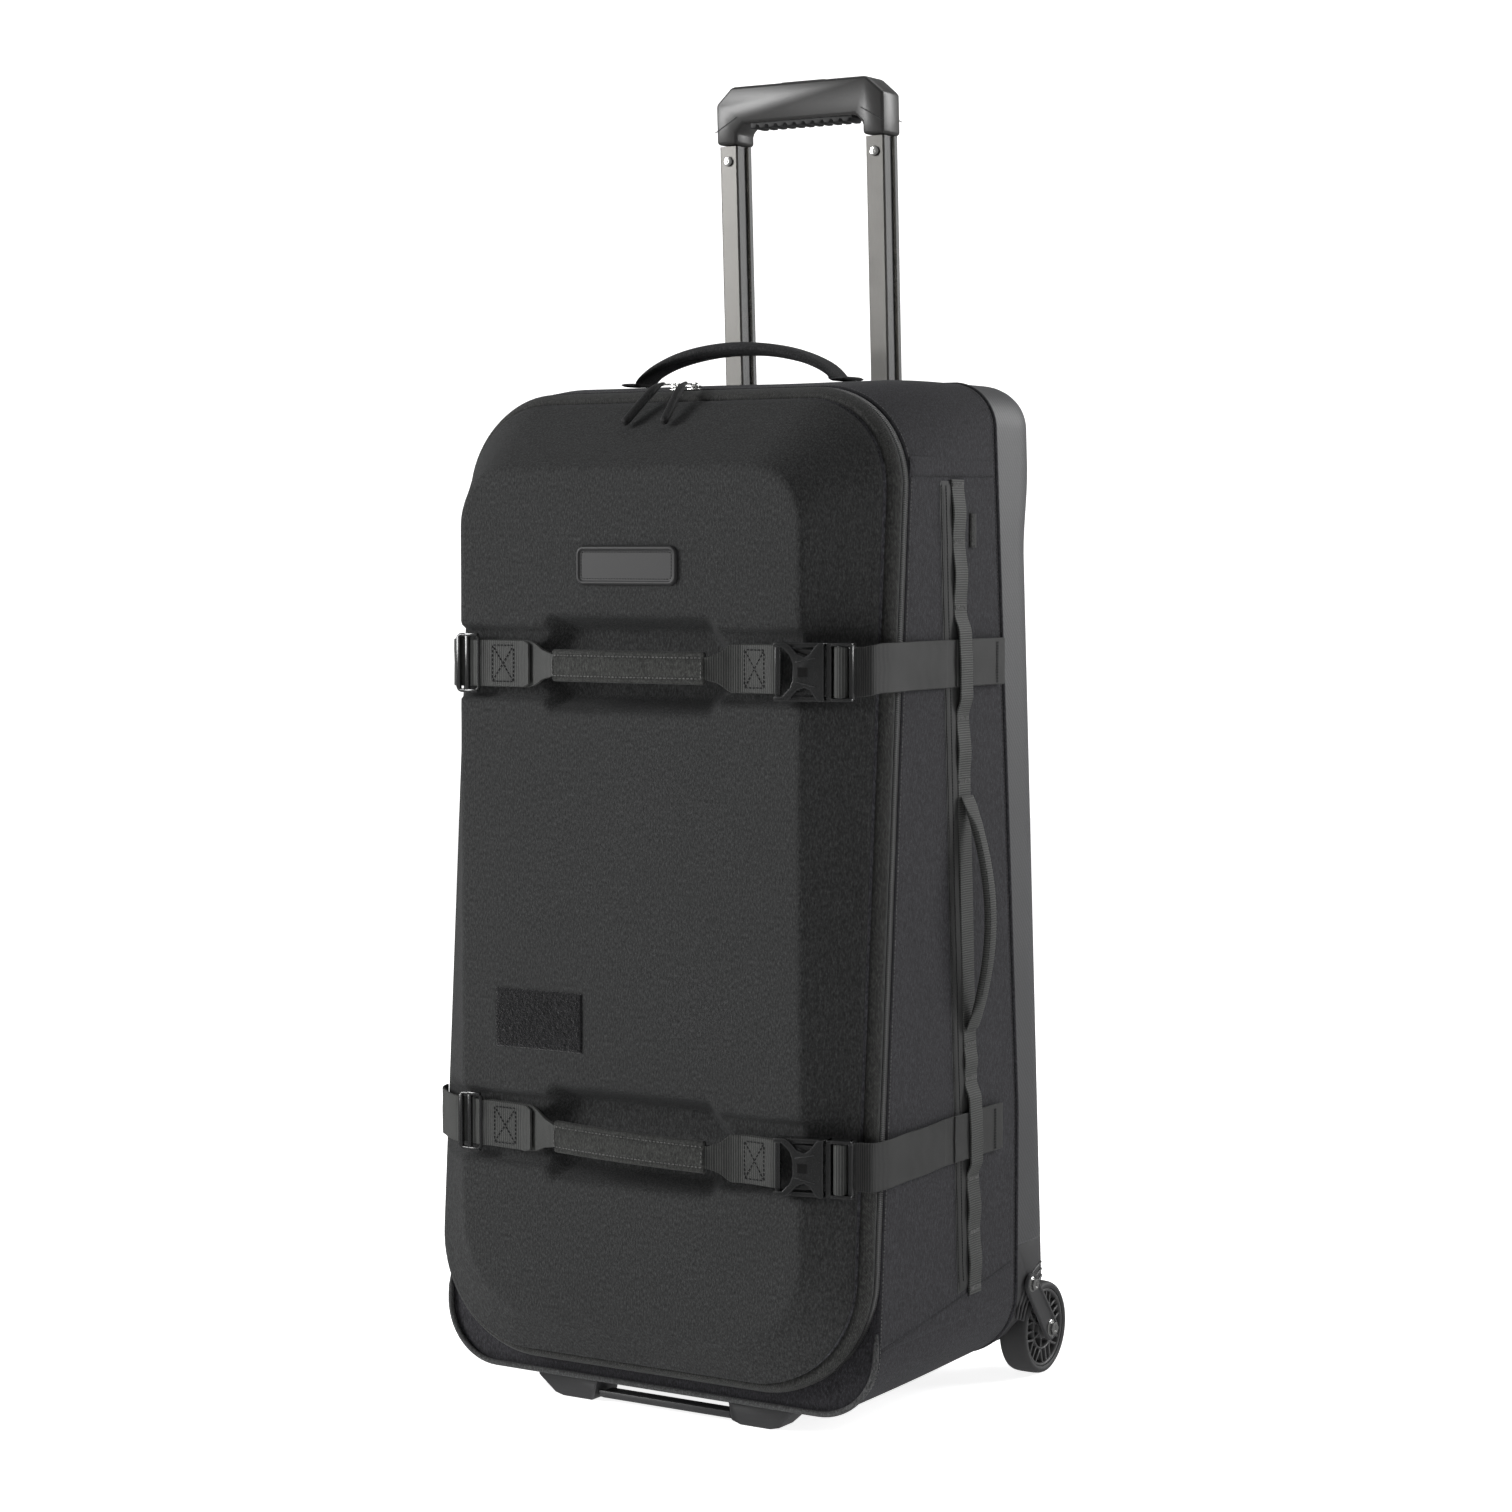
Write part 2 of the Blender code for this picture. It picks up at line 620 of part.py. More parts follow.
# ---------------------------------------------------------------- wheels
for s, side, axis in ((-1, "left", WHEEL_L), (1, "right", WHEEL_R_E)):
    x0, x1 = sorted((s * WHEEL_X0, s * WHEEL_X1))
    # tyre: a turned profile, outer side first, top to bottom
    profile = [(36.5, 12.5), (38.6, 10.0), (39.0, 5.0), (39.0, -5.0), (38.6, -10.0),
               (36.5, -12.5), (33.0, -12.5), (33.0, 12.5)]
    bm = bmesh.new()
    rows = []
    n = 36
    for r, h in profile:
        rows.append([((x0 + x1) / 2 + h, WHEEL_Y + r * math.cos(2 * math.pi * i / n),
                      WHEEL_Z + r * math.sin(2 * math.pi * i / n)) for i in range(n)])
    skin(bm, rows, close=True)
    new_object(f"tyre_{side}", bm, M_TYRE, axis)
    rim = new_object(f"wheel_rim_{side}",
                     cylinder_bm((x0 + 1.5, WHEEL_Y, WHEEL_Z), (x1 - 1.5, WHEEL_Y, WHEEL_Z),
                                 32.6, 36), M_PLASTIC, axis)
    cut = bmesh.new()
    for k in range(8):
        a = 2 * math.pi * k / 8
        y, z = WHEEL_Y + 20.5 * math.cos(a), WHEEL_Z + 20.5 * math.sin(a)
        join_bm(cut, cylinder_bm((x0 - 20, y, z), (x1 + 20, y, z), 6.0, 8))
    join_bm(cut, cylinder_bm((x0 - 20, WHEEL_Y, WHEEL_Z), (x1 + 20, WHEEL_Y, WHEEL_Z), 4.3, 16))
    boolean(rim, helper(new_object(f"web_cut_{side}", cut, None, axis)))
    # axle with its head outside the arm
    bm = cylinder_bm((s * 168.5, WHEEL_Y, WHEEL_Z), (s * 209.2, WHEEL_Y, WHEEL_Z), 4.0, 16)
    axle = new_object(f"axle_{side}", bm, M_STEEL, CASE)
    bm = cylinder_bm((s * 209.1, WHEEL_Y, WHEEL_Z), (s * 212.0, WHEEL_Y, WHEEL_Z), 7.5, 12,
                     6.0)
    boolean(axle, helper(new_object(f"axle_head_{side}", bm, None, CASE)), "UNION")
    # outer arm: a flat bar with round ends from the pivot bolt to the axle
    a, b = Vector((0, 298, 83)), Vector((0, WHEEL_Y, WHEEL_Z))
    d = (b - a).normalized()
    base = math.atan2(d.z, d.y)
    pts = []
    for c, r, a0 in ((a, 9.0, base + math.pi / 2), (b, 10.0, base - math.pi / 2)):
        for k in range(9):
            t = a0 + math.pi * k / 8
            pts.append((c.y + r * math.cos(t), c.z + r * math.sin(t)))
    bm = bmesh.new()
    x_in, x_out = s * 205.4, s * 208.8
    lo = [bm.verts.new((x_in, y, z)) for y, z in pts]
    hi = [bm.verts.new((x_out, y, z)) for y, z in pts]
    for i in range(len(pts)):
        j = (i + 1) % len(pts)
        bm.faces.new((lo[i], lo[j], hi[j], hi[i]))
    bm.faces.new(lo)
    bm.faces.new(list(reversed(hi)))
    arm = new_object(f"wheel_arm_{side}", bm, M_PLASTIC, CASE)
    cut = cylinder_bm((s * 190, 298, 83), (s * 230, 298, 83), 3.1, 12)
    join_bm(cut, cylinder_bm((s * 190, WHEEL_Y, WHEEL_Z), (s * 230, WHEEL_Y, WHEEL_Z), 4.3, 16))
    boolean(arm, helper(new_object(f"arm_cut_{side}", cut, None, CASE)))
    bm = cylinder_bm((s * 194, 298, 83), (s * 209.2, 298, 83), 2.8, 12)
    bolt = new_object(f"arm_bolt_{side}", bm, M_STEEL, CASE)
    bm = cylinder_bm((s * 209.1, 298, 83), (s * 211.6, 298, 83), 6.5, 12, 5.0)
    boolean(bolt, helper(new_object(f"bolt_head_{side}", bm, None, CASE)), "UNION")

# ---------------------------------------------------------------- front foot
FOOT_Y0, FOOT_Y1 = 50.0, 84.0


def foot():
    """Front foot: a bridge under the case with two legs that taper to the floor."""
    top, under = BODY_Z0 - 0.4, 20.5
    pts = [(-122, top), (-122, 16), (-108, 2), (-100, 0), (-72, 0), (-66, 4), (-63, under),
           (63, under), (66, 4), (72, 0), (100, 0), (108, 2), (122, 16), (122, top)]
    bm = bmesh.new()
    lo = [bm.verts.new((x, FOOT_Y0 + (4 if z < 3 else 0), z)) for x, z in pts]
    hi = [bm.verts.new((x, FOOT_Y1 - (6 if z < 3 else 0), z)) for x, z in pts]
    for i in range(len(pts)):
        j = (i + 1) % len(pts)
        bm.faces.new((lo[i], lo[j], hi[j], hi[i]))
    bm.faces.new(lo)
    bm.faces.new(list(reversed(hi)))
    return bm


new_object("base_foot", foot(), M_PLASTIC, CASE)
box("foot_grip_bar", -63.6, 63.6, 56, 72, 3.0, 8.6, M_PLASTIC, edge=1.2, seg=1)

# ---------------------------------------------------------------- pull handle
for s, side in ((-1, "left"), (1, "right")):
    bar = new_object(f"handle_bar_{side}", bar_box(s * TUBE_X, BAR_W / 2, BAR_D / 2, 690, 1040.6),
                     M_SATIN, HANDLE)
    bevel(bar, 1.2, 1)


def grip():
    """Pull grip: two shoulders and a cross bar with chamfered corners, leaning with
    the bars."""
    outer = [(-82, 1041), (-82, 1075), (-66, 1089), (66, 1089), (82, 1075), (82, 1041)]
    inner = [(62, 1041), (62, 1051), (55, 1058), (-55, 1058), (-62, 1051), (-62, 1041)]
    pts = outer + inner
    bm = bmesh.new()
    lo = [bm.verts.new((x, tube_y(z) - 15.0, z)) for x, z in pts]
    hi = [bm.verts.new((x, tube_y(z) + 15.0, z)) for x, z in pts]
    for i in range(len(pts)):
        j = (i + 1) % len(pts)
        bm.faces.new((lo[i], lo[j], hi[j], hi[i]))
    bm.faces.new(lo)
    bm.faces.new(list(reversed(hi)))
    return bm


handle = bevel(new_object("handle_grip", grip(), M_TUBE, HANDLE), 2.5, 2)
ty = tube_y(1084)
boolean(handle, helper(box("button_pocket", -22.4, 22.4, ty - 7.4, ty + 7.4, 1078, 1104,
                           parent=HANDLE)))
ty2 = tube_y(1058)
boolean(handle, helper(box("rubber_pocket", -50.4, 50.4, ty2 - 11.4, ty2 + 11.4, 1044, 1062,
                           parent=HANDLE)))
box("release_button", -22, 22, ty - 7, ty + 7, 1083.5, 1090.5, M_PLASTIC, BUTTON, edge=1.0)


def ribbed():
    """Ribbed rubber pad under the cross bar."""
    pts = [(-50, 1061.6)]
    n = 11
    for k in range(n):
        x0 = -50 + 100 * k / n
        w = 100 / n
        pts += [(x0 + 0.3, 1053.5), (x0 + w * 0.55, 1053.5), (x0 + w * 0.7, 1056.0),
                (x0 + w * 0.9, 1056.0)]
    pts += [(50, 1056.0), (50, 1061.6)]
    bm = bmesh.new()
    lo = [bm.verts.new((x, ty2 - 11, z)) for x, z in pts]
    hi = [bm.verts.new((x, ty2 + 11, z)) for x, z in pts]
    for i in range(len(pts)):
        j = (i + 1) % len(pts)
        bm.faces.new((lo[i], lo[j], hi[j], hi[i]))
    bm.faces.new(lo)
    bm.faces.new(list(reversed(hi)))
    return bm


new_object("grip_rubber", ribbed(), M_RUBBER, HANDLE, smooth=False)
for s, side in ((-1, "left"), (1, "right")):
    y = tube_y(1027) - BAR_D / 2
    bm = cylinder_bm((s * TUBE_X, y - 1.9, 1027), (s * TUBE_X, y - 0.4, 1027), 4.2, 16, 4.2)
    new_object(f"grip_screw_{side}", bm, M_STEEL, HANDLE)

# ---------------------------------------------------------------- soft handles
# Top handle: padded arch over the top of the side wall.
path, half = [], 94.0
for k in range(13):
    a = math.pi * k / 12
    path.append((-half * math.cos(a), 170.0, 833.0 + 27.5 * math.sin(a) ** 0.8))
path = [(-half - 14, 170.0, 833.4)] + path + [(half + 14, 170.0, 833.4)]
ribbon("top_handle", M_FABRIC, CASE, path, (0, 1, 0), [32.0] * 15,
       [3.0, 3.0] + [5.0 + 6.0 * math.sin(math.pi * k / 12) for k in range(1, 12)] + [3.0, 3.0])


def strip_y(z):
    return 164.0 + (720.0 - z) * 0.0535


z_list = [751, 648, 632, 578, 562, 500, 310, 270, 255, 203, 188, 95]
x_list = [206.6, 206.6, 210.6, 210.6, 206.6, 206.6, 206.6, 206.6, 210.6, 210.6, 206.6, 206.6]
ribbon("side_daisy_strip", M_WEB, CASE,
       [(x, strip_y(z), z) for x, z in zip(x_list, z_list)], (0, 1, 0), 20.0, 1.6)
path = []
for k in range(13):
    t = k / 12
    bow = math.sin(math.pi * t) ** 0.9
    path.append((209.0 + 19.0 * bow, strip_y(496 - 181 * t) + 1.0, 496 - 181 * t))
ribbon("side_handle", M_WEB, CASE, path, (0, 1, 0),
       [20.0, 20.0] + [15.0] * 9 + [20.0, 20.0],
       [1.6, 2.4] + [6.0] * 9 + [2.4, 1.6])
box("side_tag", 205.4, 207.2, 185.5, 195, 697, 725, M_WEB)

# ---------------------------------------------------------------- straps
SL_Y = 3.0                       # strap centre plane in its channel
BUCKLE = Matrix.Translation((143.0, -5.0, 0.0)) @ Matrix.Rotation(math.radians(14), 4, "Z")


def buckle_pt(u, v, w):
    """Buckle frame to design frame: u along the webbing, v to the back, w up."""
    return BUCKLE @ Vector((u, v, w))


def buckle_bm(u0, u1, v0, v1, w0, w1):
    bm = box_bm(u0, u1, v0, v1, w0, w1)
    bmesh.ops.transform(bm, matrix=BUCKLE, verts=bm.verts)
    return bm


for zc, level in ((UP_Z, "upper"), (LO_Z, "lower")):
    up = (0, 0, 1)
    # Front webbing from the lid's left rim to the female buckle.
    rim = rim_y(zc)
    path = [(-208.6, rim - 1, zc), (-203.4, rim - 12.5, zc), (-198.4, rim - 18.7, zc),
            (-191.5, 0.83 * (rim - 15.5) - 4.3, zc), (-178, 0.47 * (rim - 15.5) - 5, zc),
            (-163, SL_Y - 1, zc),
            (-150, SL_Y, zc), (-92, SL_Y, zc), (-74, -6, zc), (-58, -14, zc), (13, -18, zc),
            (85, -14, zc), (100, -6, zc), (112, SL_Y - 4, zc), (134, -2.6, zc), (140.6, -2.6, zc)]
    width = [WEB_W] * 8 + [30, 18, 18, 18, 30] + [WEB_W] * 3
    ribbon(f"handle_strap_{level}", M_WEB, LID, path, up, width, 2.4)
    # Padded sleeve round the middle of the webbing.
    bm = bmesh.new()
    rings = []
    for hw_, ht in ((12.8, 6.0), (9.8, 2.2)):
        rows = []
        for x, y in ((-56, -14.3), (13, -18.2), (83, -14.3)):
            rows.append([(x, y - ht, zc - hw_), (x, y - ht, zc + hw_), (x, y + ht, zc + hw_),
                         (x, y + ht, zc - hw_)])
        rings.append(rows)
    skin(bm, rings[0] + list(reversed(rings[1])), close=True)
    bevel(new_object(f"grip_sleeve_{level}", bm, M_RUBBER, LID), 1.2, 1)
    # Ladder lock on the left: a frame with two windows, in front of the webbing.
    lock = box(f"ladder_lock_{level}", -164, -138, -4.6, -0.6, zc - 24, zc + 24, M_PLASTIC,
               LID, edge=1.2, seg=1)
    cut = box_bm(-160.5, -152.8, -20, 20, zc - 20, zc + 20)
    join_bm(cut, box_bm(-149.2, -141.5, -20, 20, zc - 20, zc + 20))
    boolean(lock, helper(new_object(f"lock_cut_{level}", cut, None, LID)))
    # Female buckle half, open at the back and towards the prongs.
    bm = buckle_bm(0, 40, -10.0, 3.5, zc - 22.5, zc + 22.5)
    fem = bevel(new_object(f"buckle_female_{level}", bm, M_PLASTIC, LID), 1.5, 1)
    bm = buckle_bm(8, 60, -6.5, 30.0, zc - 18.5, zc + 18.5)
    boolean(fem, helper(new_object(f"fem_cut_{level}", bm, None, LID)))
    # Male half: a ladder end with two slots, a guide tongue and two prongs.
    male = new_object(f"buckle_male_{level}", buckle_bm(41, 62, -8.0, 4.0, zc - 22.5, zc + 22.5),
                      M_PLASTIC, CASE)
    for j, (u0, u1, w0, w1) in enumerate(((12, 42, 11, 17), (12, 42, -17, -11), (16, 42, -3.5, 3.5))):
        prong = helper(new_object(f"prong_{level}_{j}", buckle_bm(u0, u1, -5.5, 1.5, zc + w0, zc + w1),
                                  None, CASE))
        boolean(male, prong, "UNION")
    cut = buckle_bm(45, 49, -30, 30, zc - 19.5, zc + 19.5)
    join_bm(cut, buckle_bm(54, 58, -30, 30, zc - 19.5, zc + 19.5))
    boolean(male, helper(new_object(f"male_cut_{level}", cut, None, CASE)))
    # Side webbing, right: from the ladder end round the corner to the rear seam.
    q = buckle_pt(58, 6.2, 0)
    path = [(q.x - 8, q.y - 2.2, zc), (q.x, q.y, zc), (209.5, 22, zc), (211.5, 46, zc),
            (208.6, 84, zc), (208.0, 110, zc), (207.6, 238, zc)]
    ribbon(f"side_strap_{level}_right", M_WEB, CASE, path, up, WEB_W, 2.0)
    # Side webbing, left.
    path = [(-207.4, rim_y(zc) + 14, zc), (-207.4, 238, zc)]
    ribbon(f"side_strap_{level}_left", M_WEB, CASE, path, up, WEB_W, 2.0)

# ---------------------------------------------------------------- lid trim
box("badge", -45, 50, -3.2, -0.3, 668, 699, M_RUBBER, LID, edge=1.0, seg=1)
box("loop_patch", -127, -41, -2.4, -0.3, 295, 344, M_WEB, LID, edge=0.6, seg=1)

# ---------------------------------------------------------------- zipper sliders
for s, side, sax, pax in ((-1, "left", SLIDE_L, PULL_L), (1, "right", SLIDE_R, PULL_R)):
    xc = s * 8.0
    y0 = rim_y(822)
    bm = box_bm(xc - 6, xc + 6, y0 + 0.3, y0 + 9.5, 823.0, 827.0)
    body = bevel(new_object(f"zipper_slider_{side}", bm, M_STEEL, sax), 1.0, 1)
    lug = helper(box(f"lug_{side}", xc - 1.5, xc + 1.5, y0 - 6.0, y0 + 6.0, 826.0, 829.6, parent=sax))
    boolean(body, lug, "UNION")
    # Cord pull, hanging forward over the lid's top.
    path = [(xc + s * 4.5, y0 - 3.0, 829.4), (xc + s * 4.5, y0 - 14.0, 828.0),
            (xc + s * 4.5, y0 - 30.0, 819.6), (xc + s * 4.5, y0 - 48.0, 804.6)]
    tube(f"zipper_pull_{side}", M_WEB, pax, path, 2.4, res=1)
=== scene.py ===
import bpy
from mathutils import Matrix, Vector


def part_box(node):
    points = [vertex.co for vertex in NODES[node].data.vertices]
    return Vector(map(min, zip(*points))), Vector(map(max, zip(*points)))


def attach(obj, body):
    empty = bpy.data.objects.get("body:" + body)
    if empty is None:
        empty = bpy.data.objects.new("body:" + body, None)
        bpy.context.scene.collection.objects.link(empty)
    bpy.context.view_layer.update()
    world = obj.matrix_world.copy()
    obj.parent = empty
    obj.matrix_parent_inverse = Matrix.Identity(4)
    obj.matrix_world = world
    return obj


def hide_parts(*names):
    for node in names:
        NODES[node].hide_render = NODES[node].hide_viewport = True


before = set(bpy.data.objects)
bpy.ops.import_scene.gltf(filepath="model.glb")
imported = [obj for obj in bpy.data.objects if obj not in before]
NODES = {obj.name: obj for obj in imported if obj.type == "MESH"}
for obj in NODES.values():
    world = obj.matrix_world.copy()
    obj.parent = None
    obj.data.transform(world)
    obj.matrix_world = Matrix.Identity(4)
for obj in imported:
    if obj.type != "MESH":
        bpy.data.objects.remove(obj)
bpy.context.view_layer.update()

import math
import random

import bmesh
import bpy
import numpy as np
from mathutils import Matrix, Vector, noise

MM = 0.001
# Row frame = design frame (mm) plus this shift; Y = 0 in the design frame is the lid's flat front.
SX = (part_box("back_shell")[0].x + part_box("back_shell")[1].x) / 2 / MM
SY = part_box("lid_shell")[0].y / MM
SHIFT = Vector((SX, SY, 0.0))

# ---------------------------------------------------------------- the design, as in the frame
HALF_W = 205.0
LID_Z0, LID_Z1, LID_RT, LID_RB = 38.0, 822.0, 80.0, 97.0
BODY_Z0, BODY_Z1, BODY_RT, BODY_RB = 24.0, 824.0, 80.0, 50.0
SEAM_RT, SEAM_RB, TOP_RISE = 36.0, 58.0, 6.0
FLAT_X, FLAT_Z0, FLAT_Z1 = 158.0, 82.0, 758.0
UP_Z, LO_Z, WEB_W = 605.0, 229.0, 38.0
TUBE_X, BAR_W, BAR_D = 72.0, 17.5, 24.0
WHEEL_Y, WHEEL_Z = 333.0, 39.0
LID_IN = 9.0
ROUND = 44.0
HEX_X = 4.0
SL_Y = 3.0


def rim_y(z):
    return 28.0 + 0.068 * z


def seam_y(z):
    return min(273.0, 241.0 + (643.0 - z) * 0.0785)


def back_y(z):
    bump = 10.0 * smooth(clamp01((z - 690.0) / 75.0))
    return 317.0 + (643.0 - z) * 0.064 + bump


def tube_y(z):
    return 286.0 + (z - 830.0) * -0.045


def strip_y(z):
    return 164.0 + (720.0 - z) * 0.0535


def wall_y0(z):
    return rim_y(z) + 10.0


def clamp01(v):
    return max(0.0, min(1.0, v))


def smooth(t):
    return t * t * (3 - 2 * t)


def lerp(a, b, t):
    return a + (b - a) * t


# ---------------------------------------------------------------- materials
def mat_new(name):
    m = bpy.data.materials.new(name)
    m.use_nodes = True
    nt = m.node_tree
    b = nt.nodes["Principled BSDF"]
    return m, nt, b


def nd(nt, kind, **kw):
    n = nt.nodes.new(kind)
    for k, v in kw.items():
        if k.startswith("i_"):
            n.inputs[int(k[2:])].default_value = v
        else:
            setattr(n, k, v)
    return n


def link(nt, a, b):
    nt.links.new(a, b)


def math_node(nt, op, a, b=None, c=None, clamp=False):
    n = nt.nodes.new("ShaderNodeMath")
    n.operation = op
    n.use_clamp = clamp
    for i, v in enumerate((a, b, c)):
        if v is None:
            continue
        if isinstance(v, (int, float)):
            n.inputs[i].default_value = v
        else:
            nt.links.new(v, n.inputs[i])
    return n.outputs[0]


def ramp(nt, fac, stops):
    r = nt.nodes.new("ShaderNodeValToRGB")
    e = r.color_ramp.elements
    while len(e) < len(stops):
        e.new(0.5)
    for i, (p, c) in enumerate(stops):
        e[i].position = p
        e[i].color = (*c, 1.0)
    nt.links.new(fac, r.inputs[0])
    return r.outputs[0]


def coords(nt, kind="obj"):
    """Object coordinates (metres in the row frame) or the named UV map in metres."""
    if kind == "uv":
        n = nt.nodes.new("ShaderNodeUVMap")
        n.uv_map = "weave"
        return n.outputs[0]
    n = nt.nodes.new("ShaderNodeTexCoord")
    return n.outputs["Object"]


def noise_tex(nt, vec, scale, detail=3.0, rough=0.55):
    n = nt.nodes.new("ShaderNodeTexNoise")
    n.inputs["Scale"].default_value = scale
    n.inputs["Detail"].default_value = detail
    n.inputs["Roughness"].default_value = rough
    nt.links.new(vec, n.inputs["Vector"])
    return n.outputs["Fac"]


def mixc(nt, fac, a, b, mode="MIX"):
    n = nt.nodes.new("ShaderNodeMix")
    n.data_type = "RGBA"
    n.blend_type = mode
    for sock, v in ((n.inputs["Factor"], fac), (n.inputs["A"], a), (n.inputs["B"], b)):
        if isinstance(v, (int, float)):
            sock.default_value = v
        elif isinstance(v, tuple):
            sock.default_value = (*v, 1.0)
        else:
            nt.links.new(v, sock)
    return n.outputs["Result"]


def bump(nt, b, height, strength, dist):
    n = nt.nodes.new("ShaderNodeBump")
    n.inputs["Strength"].default_value = strength
    n.inputs["Distance"].default_value = dist
    nt.links.new(height, n.inputs["Height"])
    nt.links.new(n.outputs[0], b.inputs["Normal"])
    return n


def edge_wear(nt, radius=0.002):
    """0 on flat faces, 1 on worn edges, from the bent normal of a small bevel."""
    g = nt.nodes.new("ShaderNodeNewGeometry")
    bv = nt.nodes.new("ShaderNodeBevel")
    bv.samples = 4
    bv.inputs["Radius"].default_value = radius
    d = nt.nodes.new("ShaderNodeVectorMath")
    d.operation = "DOT_PRODUCT"
    nt.links.new(g.outputs["Normal"], d.inputs[0])
    nt.links.new(bv.outputs[0], d.inputs[1])
    return math_node(nt, "SUBTRACT", 1.0, d.outputs["Value"], clamp=True)


def cloth_mat(name, base, pitch, dark=0.62, light=1.35, rough=0.88, sheen=0.25, bump_s=0.35,
              mottle=0.22, weave_amt=0.5, twill=False, tint=(0.16, 0.165, 0.17)):
    """Woven cloth on the metric UV map: thread rows both ways, mottled tone, fuzz sheen."""
    m, nt, b = mat_new(name)
    uv = coords(nt, "uv")
    ob = coords(nt)
    sep = nd(nt, "ShaderNodeSeparateXYZ")
    link(nt, uv, sep.inputs[0])
    k = 2 * math.pi / pitch
    wob = noise_tex(nt, ob, 900.0, 2.0)
    wob2 = math_node(nt, "MULTIPLY_ADD", wob, 2.2, -1.1)
    ux = math_node(nt, "MULTIPLY_ADD", sep.outputs[0], k, wob2)
    vy = math_node(nt, "MULTIPLY_ADD", sep.outputs[1], k, wob2)
    if twill:
        d = math_node(nt, "ADD", ux, vy)
        sx = math_node(nt, "SINE", d)
        sy = math_node(nt, "SINE", math_node(nt, "MULTIPLY", vy, 2.0))
        w = math_node(nt, "MULTIPLY_ADD", sx, 0.36, 0.5)
        w = math_node(nt, "MULTIPLY_ADD", sy, 0.12, w)
    else:
        sx = math_node(nt, "SINE", ux)
        sy = math_node(nt, "SINE", vy)
        w = math_node(nt, "MULTIPLY", sx, sy)
        w = math_node(nt, "MULTIPLY_ADD", w, 0.5, 0.5)
    big = noise_tex(nt, ob, 9.0, 4.0)
    mpn = nd(nt, "ShaderNodeMapping")
    mpn.inputs["Scale"].default_value = (1.0, 1.0, 0.42)
    link(nt, ob, mpn.inputs["Vector"])
    mid = noise_tex(nt, mpn.outputs[0], 800.0, 3.0, 0.75)
    tone = math_node(nt, "MULTIPLY_ADD", big, mottle, 1.0 - mottle / 2)
    grain = math_node(nt, "MULTIPLY_ADD", mid, 4.0, -1.0)
    weave = math_node(nt, "MULTIPLY_ADD", w, weave_amt, 1.0 - weave_amt / 2)
    f = math_node(nt, "MULTIPLY", tone, grain)
    f = math_node(nt, "MULTIPLY", f, weave)
    f = math_node(nt, "MULTIPLY", f, 0.5, clamp=True)
    dk = tuple(c * dark * 0.3 for c in base)
    lt = tuple(min(1.0, c * light * 1.75) for c in base)
    col = ramp(nt, f, [(0.0, dk), (0.5, base), (1.0, lt)])
    link(nt, col, b.inputs["Base Color"])
    rr = math_node(nt, "MULTIPLY_ADD", mid, 0.12, rough - 0.06)
    link(nt, rr, b.inputs["Roughness"])
    b.inputs["Sheen Weight"].default_value = sheen
    b.inputs["Sheen Roughness"].default_value = 0.45
    b.inputs["Sheen Tint"].default_value = (*tint, 1.0)
    b.inputs["Specular IOR Level"].default_value = 0.25
    h = math_node(nt, "MULTIPLY_ADD", mid, 0.5, w)
    bump(nt, b, h, bump_s, 0.00035)
    return m


def web_mat(name, base, pitch=0.0019, rough=0.66, sheen=0.2, across=True, amt=0.8):
    """Ribbed webbing: ribs across, fine warp along, tone variation."""
    m, nt, b = mat_new(name)
    uv = coords(nt, "uv")
    ob = coords(nt)
    sep = nd(nt, "ShaderNodeSeparateXYZ")
    link(nt, uv, sep.inputs[0])
    k = 2 * math.pi / pitch
    a = math_node(nt, "SINE", math_node(nt, "MULTIPLY", sep.outputs[0], k))
    tri = math_node(nt, "SINE", math_node(nt, "MULTIPLY", sep.outputs[1], k * 1.7))
    w = math_node(nt, "MULTIPLY_ADD", a, 0.38, 0.5)
    w = math_node(nt, "MULTIPLY_ADD", math_node(nt, "MULTIPLY", tri, a), 0.14, w)
    mid = noise_tex(nt, ob, 700.0, 3.0, 0.7)
    big = noise_tex(nt, ob, 26.0, 3.0)
    f = math_node(nt, "MULTIPLY_ADD", w, amt, 0.5 - amt / 2)
    f = math_node(nt, "MULTIPLY_ADD", mid, 0.7, math_node(nt, "SUBTRACT", f, 0.33))
    f = math_node(nt, "MULTIPLY_ADD", big, 0.3, math_node(nt, "SUBTRACT", f, 0.15), clamp=True)
    col = ramp(nt, f, [(0.0, tuple(c * 0.35 for c in base)), (0.5, base),
                       (1.0, tuple(min(1, c * 2.0) for c in base))])
    link(nt, col, b.inputs["Base Color"])
    link(nt, math_node(nt, "MULTIPLY_ADD", mid, 0.14, rough - 0.07), b.inputs["Roughness"])
    b.inputs["Sheen Weight"].default_value = sheen
    b.inputs["Sheen Roughness"].default_value = 0.4
    b.inputs["Sheen Tint"].default_value = (0.20, 0.205, 0.20, 1.0)
    b.inputs["Specular IOR Level"].default_value = 0.35
    bump(nt, b, math_node(nt, "MULTIPLY_ADD", mid, 0.4, w), 0.5, 0.0005)
    return m


